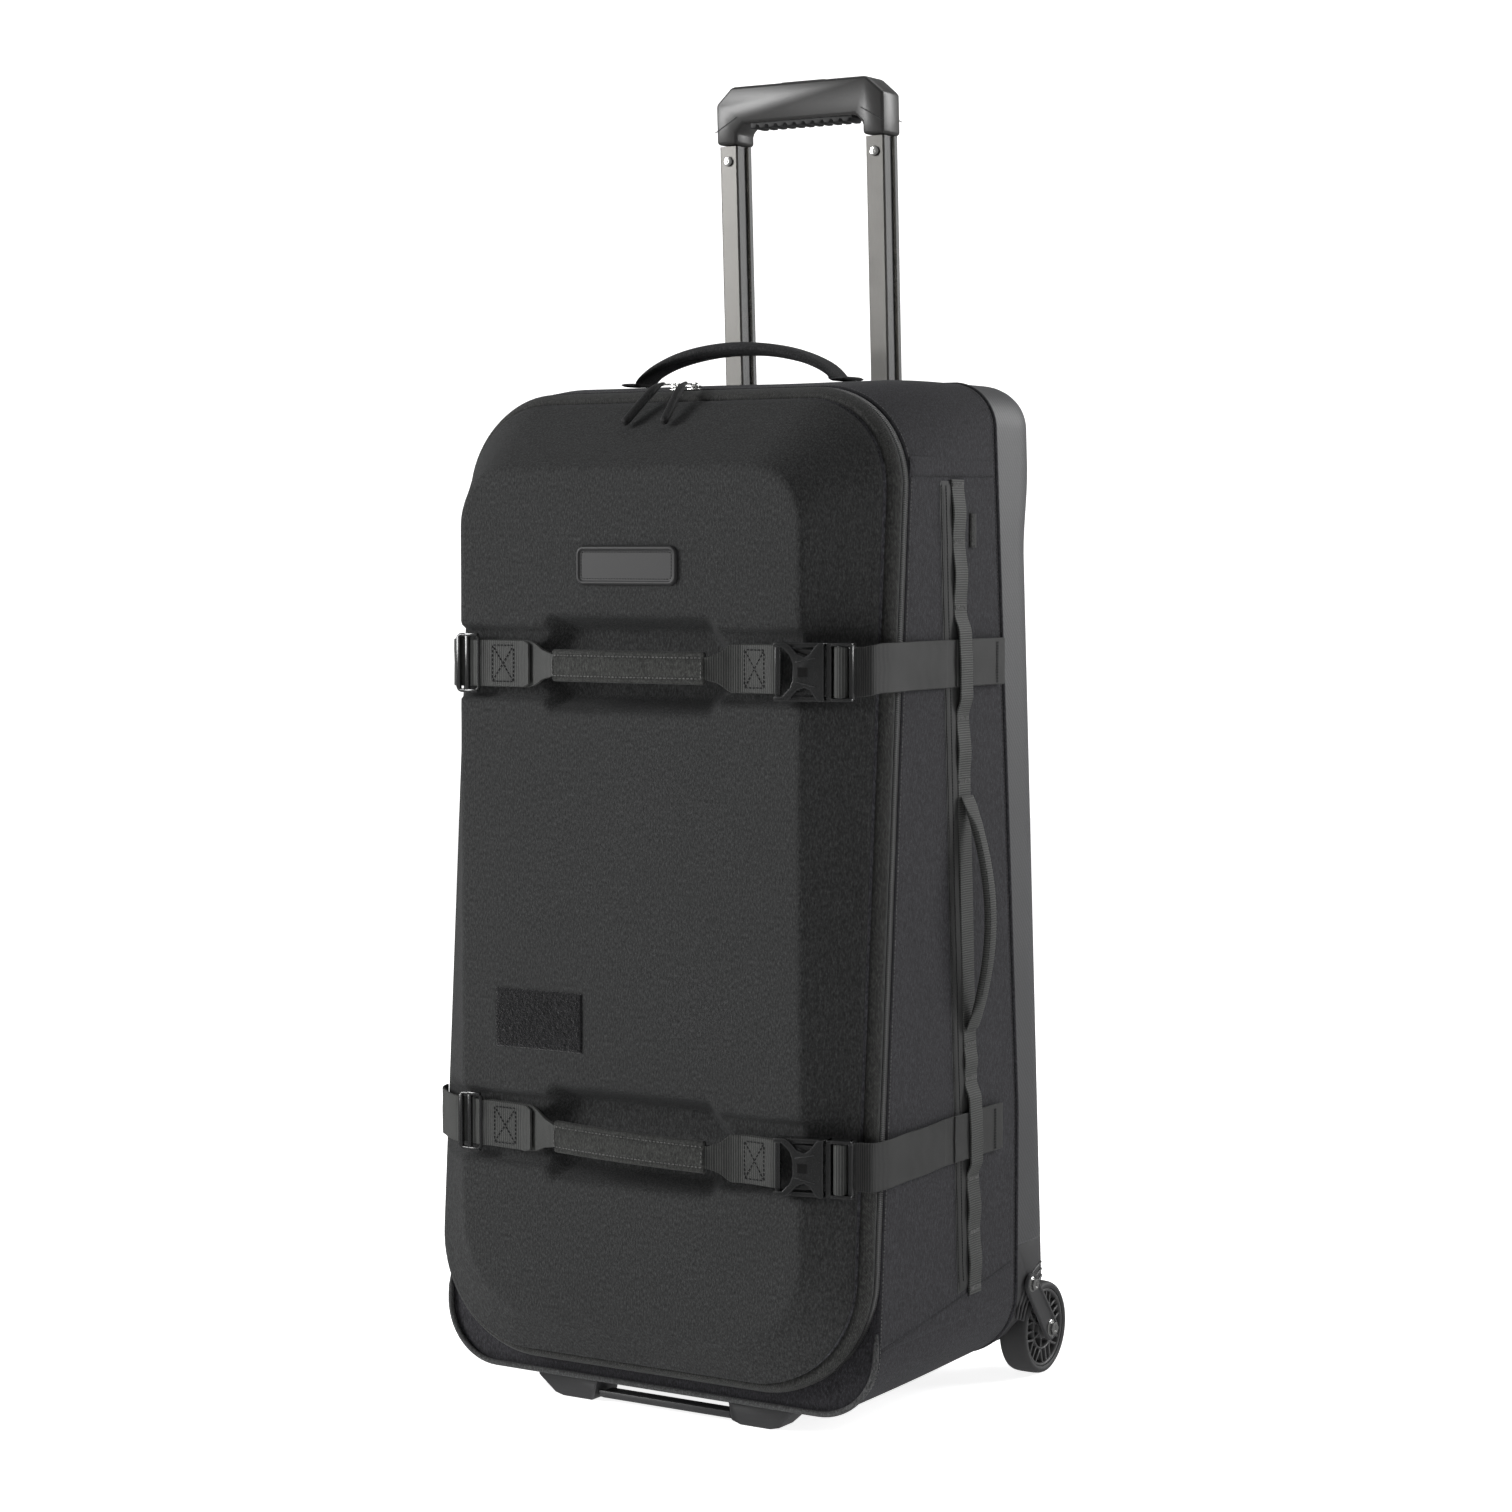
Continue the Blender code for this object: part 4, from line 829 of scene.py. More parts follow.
def build_lid():
    nx, nz = 106, 226
    xs = [-FLAT_X + 2 * FLAT_X * i / nx for i in range(nx + 1)]
    zs = [FLAT_Z0 + (FLAT_Z1 - FLAT_Z0) * k / nz for k in range(nz + 1)]
    bm = bmesh.new()
    uv = uv_layer(bm)
    P = {}

    def vert(x, y, z):
        return bm.verts.new((x, y, z))

    grid = [[vert(x, lid_y(x, z), z) for x in xs] for z in zs]
    for r0, r1 in zip(grid, grid[1:]):
        for i in range(nx):
            bm.faces.new((r0[i], r0[i + 1], r1[i + 1], r1[i]))
    loop = (grid[0] + [r[-1] for r in grid[1:-1]] + list(reversed(grid[-1]))
            + [r[0] for r in reversed(grid[1:-1])])
    keys = [(v.co.x, v.co.z) for v in loop]
    for v, k in zip(loop, keys):
        pass
    n = len(loop)
    rims = [rim_point(x if abs(abs(x) - FLAT_X) > 1e-3 else math.copysign(FLAT_X, x), z)
            for x, z in keys]
    prev = loop
    steps = 16
    for s in range(1, steps + 1):
        t = s / steps
        row = []
        for (x, z), (rx, rz) in zip(keys, rims):
            px, pz = x + (rx - x) * t, z + (rz - z) * t
            y = lid_y(px, pz) if s < steps else rim_y(pz) - 15.5
            row.append(vert(px, y, pz))
        for i in range(n):
            j = (i + 1) % n
            bm.faces.new((prev[i], prev[j], row[j], row[i]))
        prev = row
    # the covering turns in behind the edge binding
    ctr = Vector((0, 0, 430))
    for inset, back in ((0.5, 13.4), (2.2, 11.6), (5.0, 10.6)):
        row = []
        for (rx, rz) in rims:
            dx, dz = -rx, 430 - rz
            qx = math.copysign(max(0.0, abs(rx) - (HALF_W - LID_IN - 88)), rx)
            cz = 430 + math.copysign(max(0.0, abs(rz - 430) - 295), rz - 430)
            nrm = Vector((qx, 0, cz - 430))
            nrm = nrm.normalized() if nrm.length > 1e-6 else Vector((0, 0, 1))
            row.append(vert(rx - nrm.x * inset, rim_y(rz) - back, rz - nrm.z * inset))
        for i in range(n):
            j = (i + 1) % n
            bm.faces.new((prev[i], prev[j], row[j], row[i]))
        prev = row
    for f in bm.faces:
        for l in f.loops:
            c = l.vert.co
            cx = clamp01((abs(c.x) - 120) / 40)
            cz = clamp01((abs(c.z - 420) - 320) / 20)
            l[uv].uv = ((c.x + math.copysign(c.y * cx, c.x)) * MM,
                        (c.z + math.copysign(c.y * cz * (1 - cx), c.z - 420)) * MM)
    return finish_obj("lid_covering", bm, M["lid"], "lid", flip=(0, -1, 0),
                      replaces=("lid_shell",))


build_lid()
SEG, STEP = 20, (100, 56)


def rim_band(name, mat, body, profile, replaces=(), close=False, keep=None):
    """Sweeps (inset, y behind the rim plane) profile points round the lid's outline."""
    rings = []
    for inset, back in profile:
        rings.append([(x, rim_y(z) + back, z) for x, z in
                      outline(HALF_W - inset, LID_Z0 + inset, LID_Z1 - inset, LID_RT - inset,
                              LID_RB - inset, SEG, STEP)])
    bm, rows = sweep_rings(rings, close_last=close)
    return finish_obj(name, bm, mat, body, replaces=replaces, auto=60)


rim_band("lid_edge_binding", M["binding"], "lid",
         [(12.0, -7.5), (9.5, -9.6), (7.2, -10.7), (5.2, -10.6), (3.6, -9.6), (1.6, -6.6),
          (0.2, -4.0), (-0.6, -2.2), (-0.5, -0.9), (0.5, -0.3), (3.0, -0.3), (6.0, -0.8)],
         replaces=("lid_binding",))
rim_band("zipper_tape_front", M["tape"], "lid",
         [(2.4, 0.0), (1.3, 0.1), (0.9, 1.2), (0.9, 3.6), (1.3, 4.6), (2.4, 4.65)],
         replaces=("zipper_tape_lid",))
rim_band("zipper_tape_rear", M["tape"], "case",
         [(2.4, 5.05), (1.3, 5.1), (0.9, 6.2), (0.9, 8.6), (1.3, 9.6), (2.4, 9.65)],
         replaces=("zipper_tape_body",))


def rim_path(inset, dy, seg=24, step=(60, 30)):
    """Closed path (point, outward) round the rim, a steady distance behind its plane."""
    o = outline(HALF_W - inset, LID_Z0 + inset, LID_Z1 - inset, LID_RT - inset, LID_RB - inset,
                seg, step)
    n = len(o)
    out = []
    for i, (x, z) in enumerate(o):
        a, b = o[i - 1], o[(i + 1) % n]
        t = Vector((b[0] - a[0], 0, b[1] - a[1]))
        out.append((Vector((x, rim_y(z) + dy, z)), Vector((t.z, 0, -t.x)).normalized()))
    return out


def resample(path, pitch, off=0.0):
    pts = [p for p, _ in path]
    acc = [0.0]
    for a, b in zip(pts, pts[1:]):
        acc.append(acc[-1] + (b - a).length)
    s, i, out = off, 0, []
    while s < acc[-1]:
        while acc[i + 1] < s:
            i += 1
        t = (s - acc[i]) / max(1e-6, acc[i + 1] - acc[i])
        d = (pts[i + 1] - pts[i]).normalized()
        out.append((pts[i].lerp(pts[i + 1], t), path[i][1].lerp(path[i + 1][1], t).normalized(),
                    d))
        s += pitch
    return out


def zipper_teeth():
    """Coil zipper: slanted loops from both tapes that mesh along the middle."""
    for name, body, y0, y1, off in (("coil_front", "lid", 1.1, 5.5, 0.0),
                                    ("coil_rear", "case", 8.9, 4.5, 0.85)):
        bm = bmesh.new()
        uv_layer(bm)
        path = rim_path(0.1, 0.0)
        for p, o, d in resample(path, 1.7, off):
            if p.x < -200 and 130 < p.z < 740:
                continue
            a = p + Vector((0, y0, 0)) - d * 0.35 + o * 0.1
            b = p + Vector((0, y1, 0)) + d * 0.35 + o * 0.35
            add_capsule(bm, a, b, 0.62, o, seg=5, flat=0.9)
        finish_obj(name, bm, M["coil"], body, flip=False)


zipper_teeth()
P_IN = rim_path(-0.7, 10.0 + 1.8)


# ---------------------------------------------------------------- side wall
def body_outline(t, inset=0.0, crown=0.0, seg=SEG, step=STEP):
    rt = BODY_RT + (SEAM_RT - BODY_RT) * t - inset
    rb = BODY_RB + (SEAM_RB - BODY_RB) * t - inset
    return outline(HALF_W - inset, BODY_Z0 + inset, BODY_Z1 - inset + crown + TOP_RISE * t, rt, rb,
                   seg, step)


def wall_grow(x, z, t):
    """Cloth relief: soft bow between the seams, slow waves, puckers beside the seams."""
    b = 0.9 * math.sin(math.pi * t)
    b += 0.8 * fbm(x, t * 190, z, 95.0) * math.sin(math.pi * min(1, t * 1.1))
    edge = math.exp(-((t) / 0.06) ** 2) + math.exp(-((1 - t) / 0.07) ** 2)
    b += 0.35 * edge * math.sin(z * 0.42 + x * 0.42 + 2 * fbm(x, 5, z, 22))
    return b


def wall_point(i, t, ox=None, grow=0.0):
    crown = 3.0 * math.sin(math.pi * t)
    o = body_outline(t, 0.0, crown)
    return o


def build_wall():
    nt_ = 46
    rings, uvs = [], []
    ts = [k / nt_ for k in range(nt_ + 1)]
    arc = None
    for k, t in enumerate(ts):
        crown = 3.0 * math.sin(math.pi * t)
        o = body_outline(t, 0.0, crown)
        n = len(o)
        if arc is None:
            arc, d = [], 0.0
            for i in range(n):
                arc.append(d)
                q = o[(i + 1) % n]
                d += math.hypot(q[0] - o[i][0], q[1] - o[i][1])
        ring, uvr = [], []
        for i, (x, z) in enumerate(o):
            a, b = o[i - 1], o[(i + 1) % n]
            tx, tz = b[0] - a[0], b[1] - a[1]
            L = math.hypot(tx, tz)
            nx_, nz_ = tz / L, -tx / L
            g = wall_grow(x, z, t) * 0.6 - 0.1
            if t < 0.02:
                g = -0.4
            if t > 0.985:
                g = -0.5
            y = wall_y0(z) + (seam_y(z) - 1.5 - wall_y0(z)) * t
            ring.append((x + nx_ * g, y, z + nz_ * g))
            uvr.append((arc[i], y))
        rings.append(ring)
        uvs.append(uvr)
    # front and rear edges turn in
    for idx, y_off in ((0, 0.6), (-1, -0.6)):
        t = ts[idx]
        o = body_outline(t, 3.0, 3.0 * math.sin(math.pi * t))
        ring = [(x, (wall_y0(z) if idx == 0 else seam_y(z) - 1.5) + y_off, z) for x, z in o]
        uvr = [(arc[i], ring[i][1]) for i in range(len(o))]
        if idx == 0:
            rings.insert(0, ring)
            uvs.insert(0, uvr)
        else:
            rings.append(ring)
            uvs.append(uvr)
    bm, rows = sweep_rings(rings, uvs=uvs)
    # inner face, so that the open case shows lining cloth and not the covering's back
    finish_obj("side_wall_cloth", bm, M["case"], "case", replaces=("gusset_wall",))
    rings = []
    for t in (0.0, 0.25, 0.5, 0.75, 1.0):
        o = body_outline(t, 2.6, 3.0 * math.sin(math.pi * t))
        rings.append([(x, lerp(wall_y0(z) + 0.8, seam_y(z) - 2.5, t), z) for x, z in o])
    bm, rows = sweep_rings(rings)
    finish_obj("side_wall_lining", bm, M["lining"], "case")


build_wall()


def wall_sheet(name, y0f, y1f, z0f, z1f, side=1, lift=0.7, ny=30, nz=60, mat=None, body="case"):
    """A cloth panel laid on the flat side of the wall, its edges turned down."""
    bm = bmesh.new()
    uv = uv_layer(bm)
    rows = []
    for k in range(nz + 1):
        v = k / nz
        row = []
        for i in range(ny + 1):
            u = i / ny
            ya, yb = y0f, y1f
            z = lerp(z0f(u), z1f(u), v)
            y = lerp(ya(z), yb(z), u)
            t = clamp01((y - wall_y0(z)) / (seam_y(z) - 1.5 - wall_y0(z)))
            e = min(u * ny, (1 - u) * ny, v * nz, (1 - v) * nz)
            l = lift * (0.0 if e < 0.5 else 0.85 if e < 1.5 else 1.0) - (0.5 if e < 0.5 else 0)
            x = side * (HALF_W + wall_grow(side * HALF_W, z, t) * 0.6 - 0.1 + l)
            row.append(bm.verts.new((x, y, z)))
        rows.append(row)
    for r0, r1 in zip(rows, rows[1:]):
        for i in range(ny):
            f = bm.faces.new((r0[i], r0[i + 1], r1[i + 1], r1[i]))
    for f in bm.faces:
        for l in f.loops:
            l[uv].uv = (l.vert.co.y * MM, l.vert.co.z * MM)
    return finish_obj(name, bm, mat or M["case"], body, flip=(side, 0, 0))


def wall_x(y, z):
    t = clamp01((y - wall_y0(z)) / (seam_y(z) - 1.5 - wall_y0(z)))
    return HALF_W + wall_grow(HALF_W, z, t) * 0.6 - 0.1


def slant(y):
    """Height of the slanted lower seam."""
    return 79.0 + (y - 50.0) * 0.151


def seam_line(fy, z_or_y, lift, n=40):
    return None


for sd, nm in ((1, "right"), (-1, "left")):
    # lower panel, its top edge on the slanted seam
    wall_sheet(f"lower_panel_{nm}", lambda z: wall_y0(z) + 1.2, lambda z: seam_y(z) - 3.0,
               lambda u: 76.0, lambda u: slant(lerp(wall_y0(80) + 1.2, 270, u)), sd, nz=8, ny=44)
    line = []
    for k in range(41):
        y = lerp(wall_y0(80) + 3, 268, k / 40)
        z = slant(y) - 2.4
        line.append(((sd * (wall_x(y, z) + 0.75), y, z), (sd, 0, 0)))
    stitches(f"lower_seam_stitches_{nm}", [line], "case", M["thread_dark"],
             pitch=3.0, length=2.2, r=0.3)
    # upper panel edge: the seam across the side at the daisy strip's top
    zt = 750.0
    wall_sheet(f"upper_panel_{nm}", lambda z: wall_y0(z) + 1.2, lambda z: seam_y(z) - 3.0,
               lambda u: zt + 2.0 * u, lambda u: 752.0 + 16, sd, nz=6, ny=40)
    line = []
    for k in range(41):
        u = k / 40
        z = zt + 2.0 * u + 2.6
        y = lerp(wall_y0(z) + 3, seam_y(z) - 4, u)
        line.append(((sd * (wall_x(y, z) + 0.75), y, z), (sd, 0, 0)))
    stitches(f"upper_seam_stitches_{nm}", [line], "case", M["thread_dark"],
             pitch=3.0, length=2.2, r=0.3)

# base tape under the daisy strip
wall_sheet("daisy_base_tape", lambda z: strip_y(z) - 27.5, lambda z: strip_y(z) + 11.0,
           lambda u: slant(lerp(170, 205, u)) - 1.0, lambda u: 752.0, 1, lift=1.25, ny=12, nz=90,
           mat=M["web_dark"])


# ---------------------------------------------------------------- lower front panel, piping
def lower_front():
    """Cloth between the lid's round lower corners and the case's squarer ones."""
    o = outline(HALF_W - 2.6, BODY_Z0 + 2.6, BODY_Z1, 40, BODY_RB - 3, 20)
    i_ = outline(HALF_W - 10.0, LID_Z0 + 9.0, LID_Z1, 40, LID_RB - 10.0, 20)
    ro, lo_ = o[0:21], o[63:84]
    ri, li = i_[0:21], i_[63:84]
    top = 138.0

    def path(a, b):
        p = [(a[0][0], lerp(top, a[0][1], k / 10)) for k in range(10)] + a
        mid = [(lerp(a[-1][0], b[0][0], k / 50), lerp(a[-1][1], b[0][1], k / 50))
               for k in range(1, 50)]
        return p + mid + b + [(b[-1][0], lerp(b[-1][1], top, k / 10)) for k in range(1, 11)]

    po, pi_ = path(lo_, ro), path(li, ri)
    rings = []
    m = 8
    for k in range(m + 1):
        t = k / m
        ring = []
        for (x0, z0), (x1, z1) in zip(po, pi_):
            x, z = lerp(x0, x1, t), lerp(z0, z1, t)
            ring.append((x, rim_y(z) + 10.9 - 1.2 * math.sin(math.pi * t)
                         + 0.3 * fbm(x, 1, z, 20), z))
        rings.append(ring)
    bm, rows = sweep_rings(rings, closed_ring=False)
    finish_obj("front_lower_cloth", bm, M["case"], "case", flip=(0, -1, 0),
               replaces=("front_lower_panel",))


lower_front()


def under_path(hw, z0, rb, top, y_of, seg=16):
    o = outline(hw, z0, 800, 40, rb, seg)
    right, left = o[:seg + 1], o[3 * (seg + 1):]
    pts = [(-hw, lerp(top, left[0][1], k / 8)) for k in range(8)] + left
    pts += [(lerp(left[-1][0], right[0][0], k / 40), left[-1][1]) for k in range(1, 40)]
    pts += right + [(hw, lerp(right[-1][1], top, k / 8)) for k in range(1, 9)]
    return [Vector((x, y_of(z), z)) for x, z in pts]


tube("front_piping_cord", M["piping"], "case",
     under_path(HALF_W - 0.2, BODY_Z0 + 0.2, BODY_RB, 92.0, lambda z: rim_y(z) + 7.6), 2.3,
     seg=12, replaces=("front_piping",),
     rf=lambda t: 2.3 * min(1.0, 0.4 + 12 * t, 0.4 + 12 * (1 - t)))
o = outline(HALF_W - 0.6, BODY_Z0 + 0.6, BODY_Z1 + TOP_RISE - 0.6, SEAM_RT, SEAM_RB, SEG, STEP)
tube("rear_piping_cord", M["case"], "case",
     [Vector((x, seam_y(z) + 0.6, z)) for x, z in o], 1.9, seg=10, cyclic=True,
     replaces=("rear_piping",))

# stitches in front of the rear seam
o = outline(HALF_W + 0.1, BODY_Z0 - 0.1, BODY_Z1 + TOP_RISE + 0.1, SEAM_RT, SEAM_RB, SEG, STEP)
n_ = len(o)
line = []
for i, (x, z) in enumerate(o):
    a, b = o[i - 1], o[(i + 1) % n_]
    t = Vector((b[0] - a[0], 0, b[1] - a[1]))
    line.append((Vector((x, seam_y(z) - 4.2, z)), Vector((t.z, 0, -t.x)).normalized()))
stitches("rear_seam_stitches", [line], "case", M["thread_dark"], pitch=3.0,
         length=2.2, r=0.32)
line = []
for k, t_ in enumerate([0.0]):
    o = body_outline(0.012)
    n_ = len(o)
    for i, (x, z) in enumerate(o):
        a, b = o[i - 1], o[(i + 1) % n_]
        t = Vector((b[0] - a[0], 0, b[1] - a[1]))
        nn = Vector((t.z, 0, -t.x)).normalized()
        line.append((Vector((x, wall_y0(z) + 3.2, z)) + nn * 0.35, nn))
stitches("front_edge_stitches", [line], "case", pitch=3.0, length=2.1, r=0.3)


# ---------------------------------------------------------------- back shell
def build_shell():
    phis = [0, 8, 16, 24, 32, 40, 48, 56, 64, 72, 80, 86, 90]
    rings = []
    first = True
    for phi in [None] + phis:
        inset = 0.0 if phi is None else ROUND * (1 - math.cos(math.radians(phi)))
        hw = HALF_W - inset
        z0, z1 = BODY_Z0 + inset, BODY_Z1 + TOP_RISE - 0.75 * inset
        rt, rb = max(SEAM_RT - inset, 12), max(SEAM_RB - inset, 18)
        o = outline(hw, z0, z1, rt, rb, 16, (70, 40))
        ring = []
        for x, z in o:
            r = min(ROUND, back_y(z) - seam_y(z) - 4.0)
            if phi is None:
                y = seam_y(z) + 2.8
            else:
                y = back_y(z) - r * (1 - math.sin(math.radians(phi)))
            ring.append((x, y, z))
        rings.append(ring)
    # subdivide the straight run from the seam to the start of the rounding
    a, b = rings[0], rings[1]
    extra = [[tuple(lerp(p[c], q[c], t) for c in range(3)) for p, q in zip(a, b)]
             for t in (0.04, 0.25, 0.5, 0.75)]
    rings = [rings[0]] + extra + rings[1:]
    bm, rows = sweep_rings(rings)
    last = rows[-1]
    n = len(last) // 2
    # the outline starts at the bottom right corner; the two halves mirror each other
    top_half = 17 + 69 + 17
    right = last[:17] + last[17:17 + 69] + last[86:103]
    left_start = 103 + 39
    left = list(reversed(last[left_start:left_start + 103]))
    m = 24
    for i in range(102):
        p0, p1 = right[i], right[i + 1]
        q0, q1 = left[i], left[i + 1]
        r0 = [p0] + [bm.verts.new(p0.co.lerp(q0.co, k / m)) for k in range(1, m)] + [q0] \
            if i == 0 else prev_row
        r1 = [p1] + [bm.verts.new(p1.co.lerp(q1.co, k / m)) for k in range(1, m)] + [q1]
        for k in range(m):
            bm.faces.new((r0[k], r0[k + 1], r1[k + 1], r1[k]))
        prev_row = r1
    bot = [last[-1 - k] for k in range(0)]
    # inner skin
    bmesh.ops.remove_doubles(bm, verts=bm.verts, dist=0.01)
    for s in (1, -1):
        geom = bm.verts[:] + bm.edges[:] + bm.faces[:]
        bmesh.ops.bisect_plane(bm, geom=geom, plane_co=(s * 167, 0, 0), plane_no=(1, 0, 0))
    geom = bm.verts[:] + bm.edges[:] + bm.faces[:]
    bmesh.ops.bisect_plane(bm, geom=geom, plane_co=(0, 0, 120), plane_no=(0, 0, 1))
    kill = [f for f in bm.faces if abs(f.calc_center_median().x) > 167
            and f.calc_center_median().z < 120]
    bmesh.ops.delete(bm, geom=kill, context="FACES")
    # slot for the pull handle's bezel
    for co, no in (((-97.5, 0, 0), (1, 0, 0)), ((97.5, 0, 0), (1, 0, 0)),
                   ((0, 263.5, 0), (0, 1, 0)), ((0, 302.5, 0), (0, 1, 0))):
        geom = bm.verts[:] + bm.edges[:] + bm.faces[:]
        bmesh.ops.bisect_plane(bm, geom=geom, plane_co=co, plane_no=no)
    kill = [f for f in bm.faces if abs(f.calc_center_median().x) < 97.5
            and 263.5 < f.calc_center_median().y < 302.5 and f.calc_center_median().z > 790]
    bmesh.ops.delete(bm, geom=kill, context="FACES")
    ob = finish_obj("back_shell_skin", bm, M["shell"], "case", flip=(0, 1, 0),
                    replaces=("back_shell",))
    m_ = ob.modifiers.new("wall", "SOLIDIFY")
    m_.thickness = 2.6 * MM
    m_.offset = -1.0
    dg = bpy.context.evaluated_depsgraph_get()
    me2 = bpy.data.meshes.new_from_object(ob.evaluated_get(dg))
    ob.modifiers.clear()
    ob.data = me2
    me2.shade_smooth()
    me2.set_sharp_from_angle(angle=math.radians(38))
    return ob


build_shell()

# ---------------------------------------------------------------- wheel housings and wheels
for s, side in ((1, "right"), (-1, "left")):
    hard_copy(f"wheel_housing_{side}", M["moulded"], "case", bevel=1.2)


def wheel(s, side):
    body = f"wheel_{side}"
    cx = s * 190.0
    bm = bmesh.new()
    prof = [(33.0, -11.5), (34.6, -12.4), (36.4, -12.5), (37.8, -11.4), (38.6, -9.4),
            (38.95, -6.0), (39.0, -2.0), (39.0, 2.0), (38.95, 6.0), (38.6, 9.4), (37.8, 11.4),
            (36.4, 12.5), (34.6, 12.4), (33.0, 11.5)]
    lathe(bm, prof, cx, WHEEL_Y, WHEEL_Z, 96)
    finish_obj(f"tyre_ring_{side}", bm, M["tyre"], body, auto=45,
               replaces=(f"tyre_{side}",))
    bm = bmesh.new()
    # rim ring, middle ring and hub
    for prof in ([(32.95, -10.8), (32.95, 10.8), (32.0, 11.2), (30.6, 11.0), (30.2, 9.5),
                  (30.2, -9.5), (30.6, -11.0), (32.0, -11.2)],
                 [(18.6, -10.0), (18.6, 10.0), (17.9, 10.5), (17.0, 10.0), (17.0, -10.0),
                  (17.9, -10.5)],
                 [(9.6, -11.0), (9.6, 11.0), (8.8, 11.4), (4.7, 11.4), (4.7, -11.4),
                  (8.8, -11.4)]):
        lathe(bm, prof, cx, WHEEL_Y, WHEEL_Z, 72)
    # web disc in the middle of the width, thin
    lathe(bm, [(31.0, -1.2), (31.0, 1.2), (9.0, 1.2), (9.0, -1.2)], cx, WHEEL_Y, WHEEL_Z, 72)

    def spoke(r0, r1, a, w, h):
        ca, sa = math.cos(a), math.sin(a)
        v = []
        for r in (r0, r1):
            for q in (-w, w):
                for x in (-h, h):
                    v.append(bm.verts.new((cx + x, WHEEL_Y + r * ca - q * sa,
                                           WHEEL_Z + r * sa + q * ca)))
        for f in ((0, 1, 3, 2), (4, 6, 7, 5), (0, 4, 5, 1), (2, 3, 7, 6), (0, 2, 6, 4),
                  (1, 5, 7, 3)):
            bm.faces.new([v[i] for i in f])

    def vspoke(r0, a0, r1, a1, w, h):
        p = Vector((0, r0 * math.cos(a0), r0 * math.sin(a0)))
        q = Vector((0, r1 * math.cos(a1), r1 * math.sin(a1)))
        d = (q - p).normalized()
        nn = Vector((0, -d.z, d.y)) * w
        c = Vector((cx, WHEEL_Y, WHEEL_Z))
        v = [bm.verts.new(c + e + g * nn + Vector((x, 0, 0))) for e in (p, q) for g in (-1, 1)
             for x in (-h, h)]
        for f in ((0, 1, 3, 2), (4, 6, 7, 5), (0, 4, 5, 1), (2, 3, 7, 6), (0, 2, 6, 4),
                  (1, 5, 7, 3)):
            bm.faces.new([v[i] for i in f])

    for k in range(7):
        a = 2 * math.pi * k / 7
        spoke(9.0, 17.6, a, 0.9, 9.6)
        vspoke(18.0, a, 30.8, a + math.pi / 14, 0.95, 9.8)
        vspoke(18.0, a, 30.8, a - math.pi / 14, 0.95, 9.8)
        vspoke(18.0, a + math.pi / 7, 30.8, a + math.pi / 14, 0.0, 0.0) if False else None
        vspoke(18.0, a + math.pi / 7, 30.8, a + math.pi / 7, 0.95, 9.8)
    bevelled(f"wheel_web_{side}", bm, M["wheel"], body, width=0.35, seg=1,
             replaces=(f"wheel_rim_{side}",), angle=40)


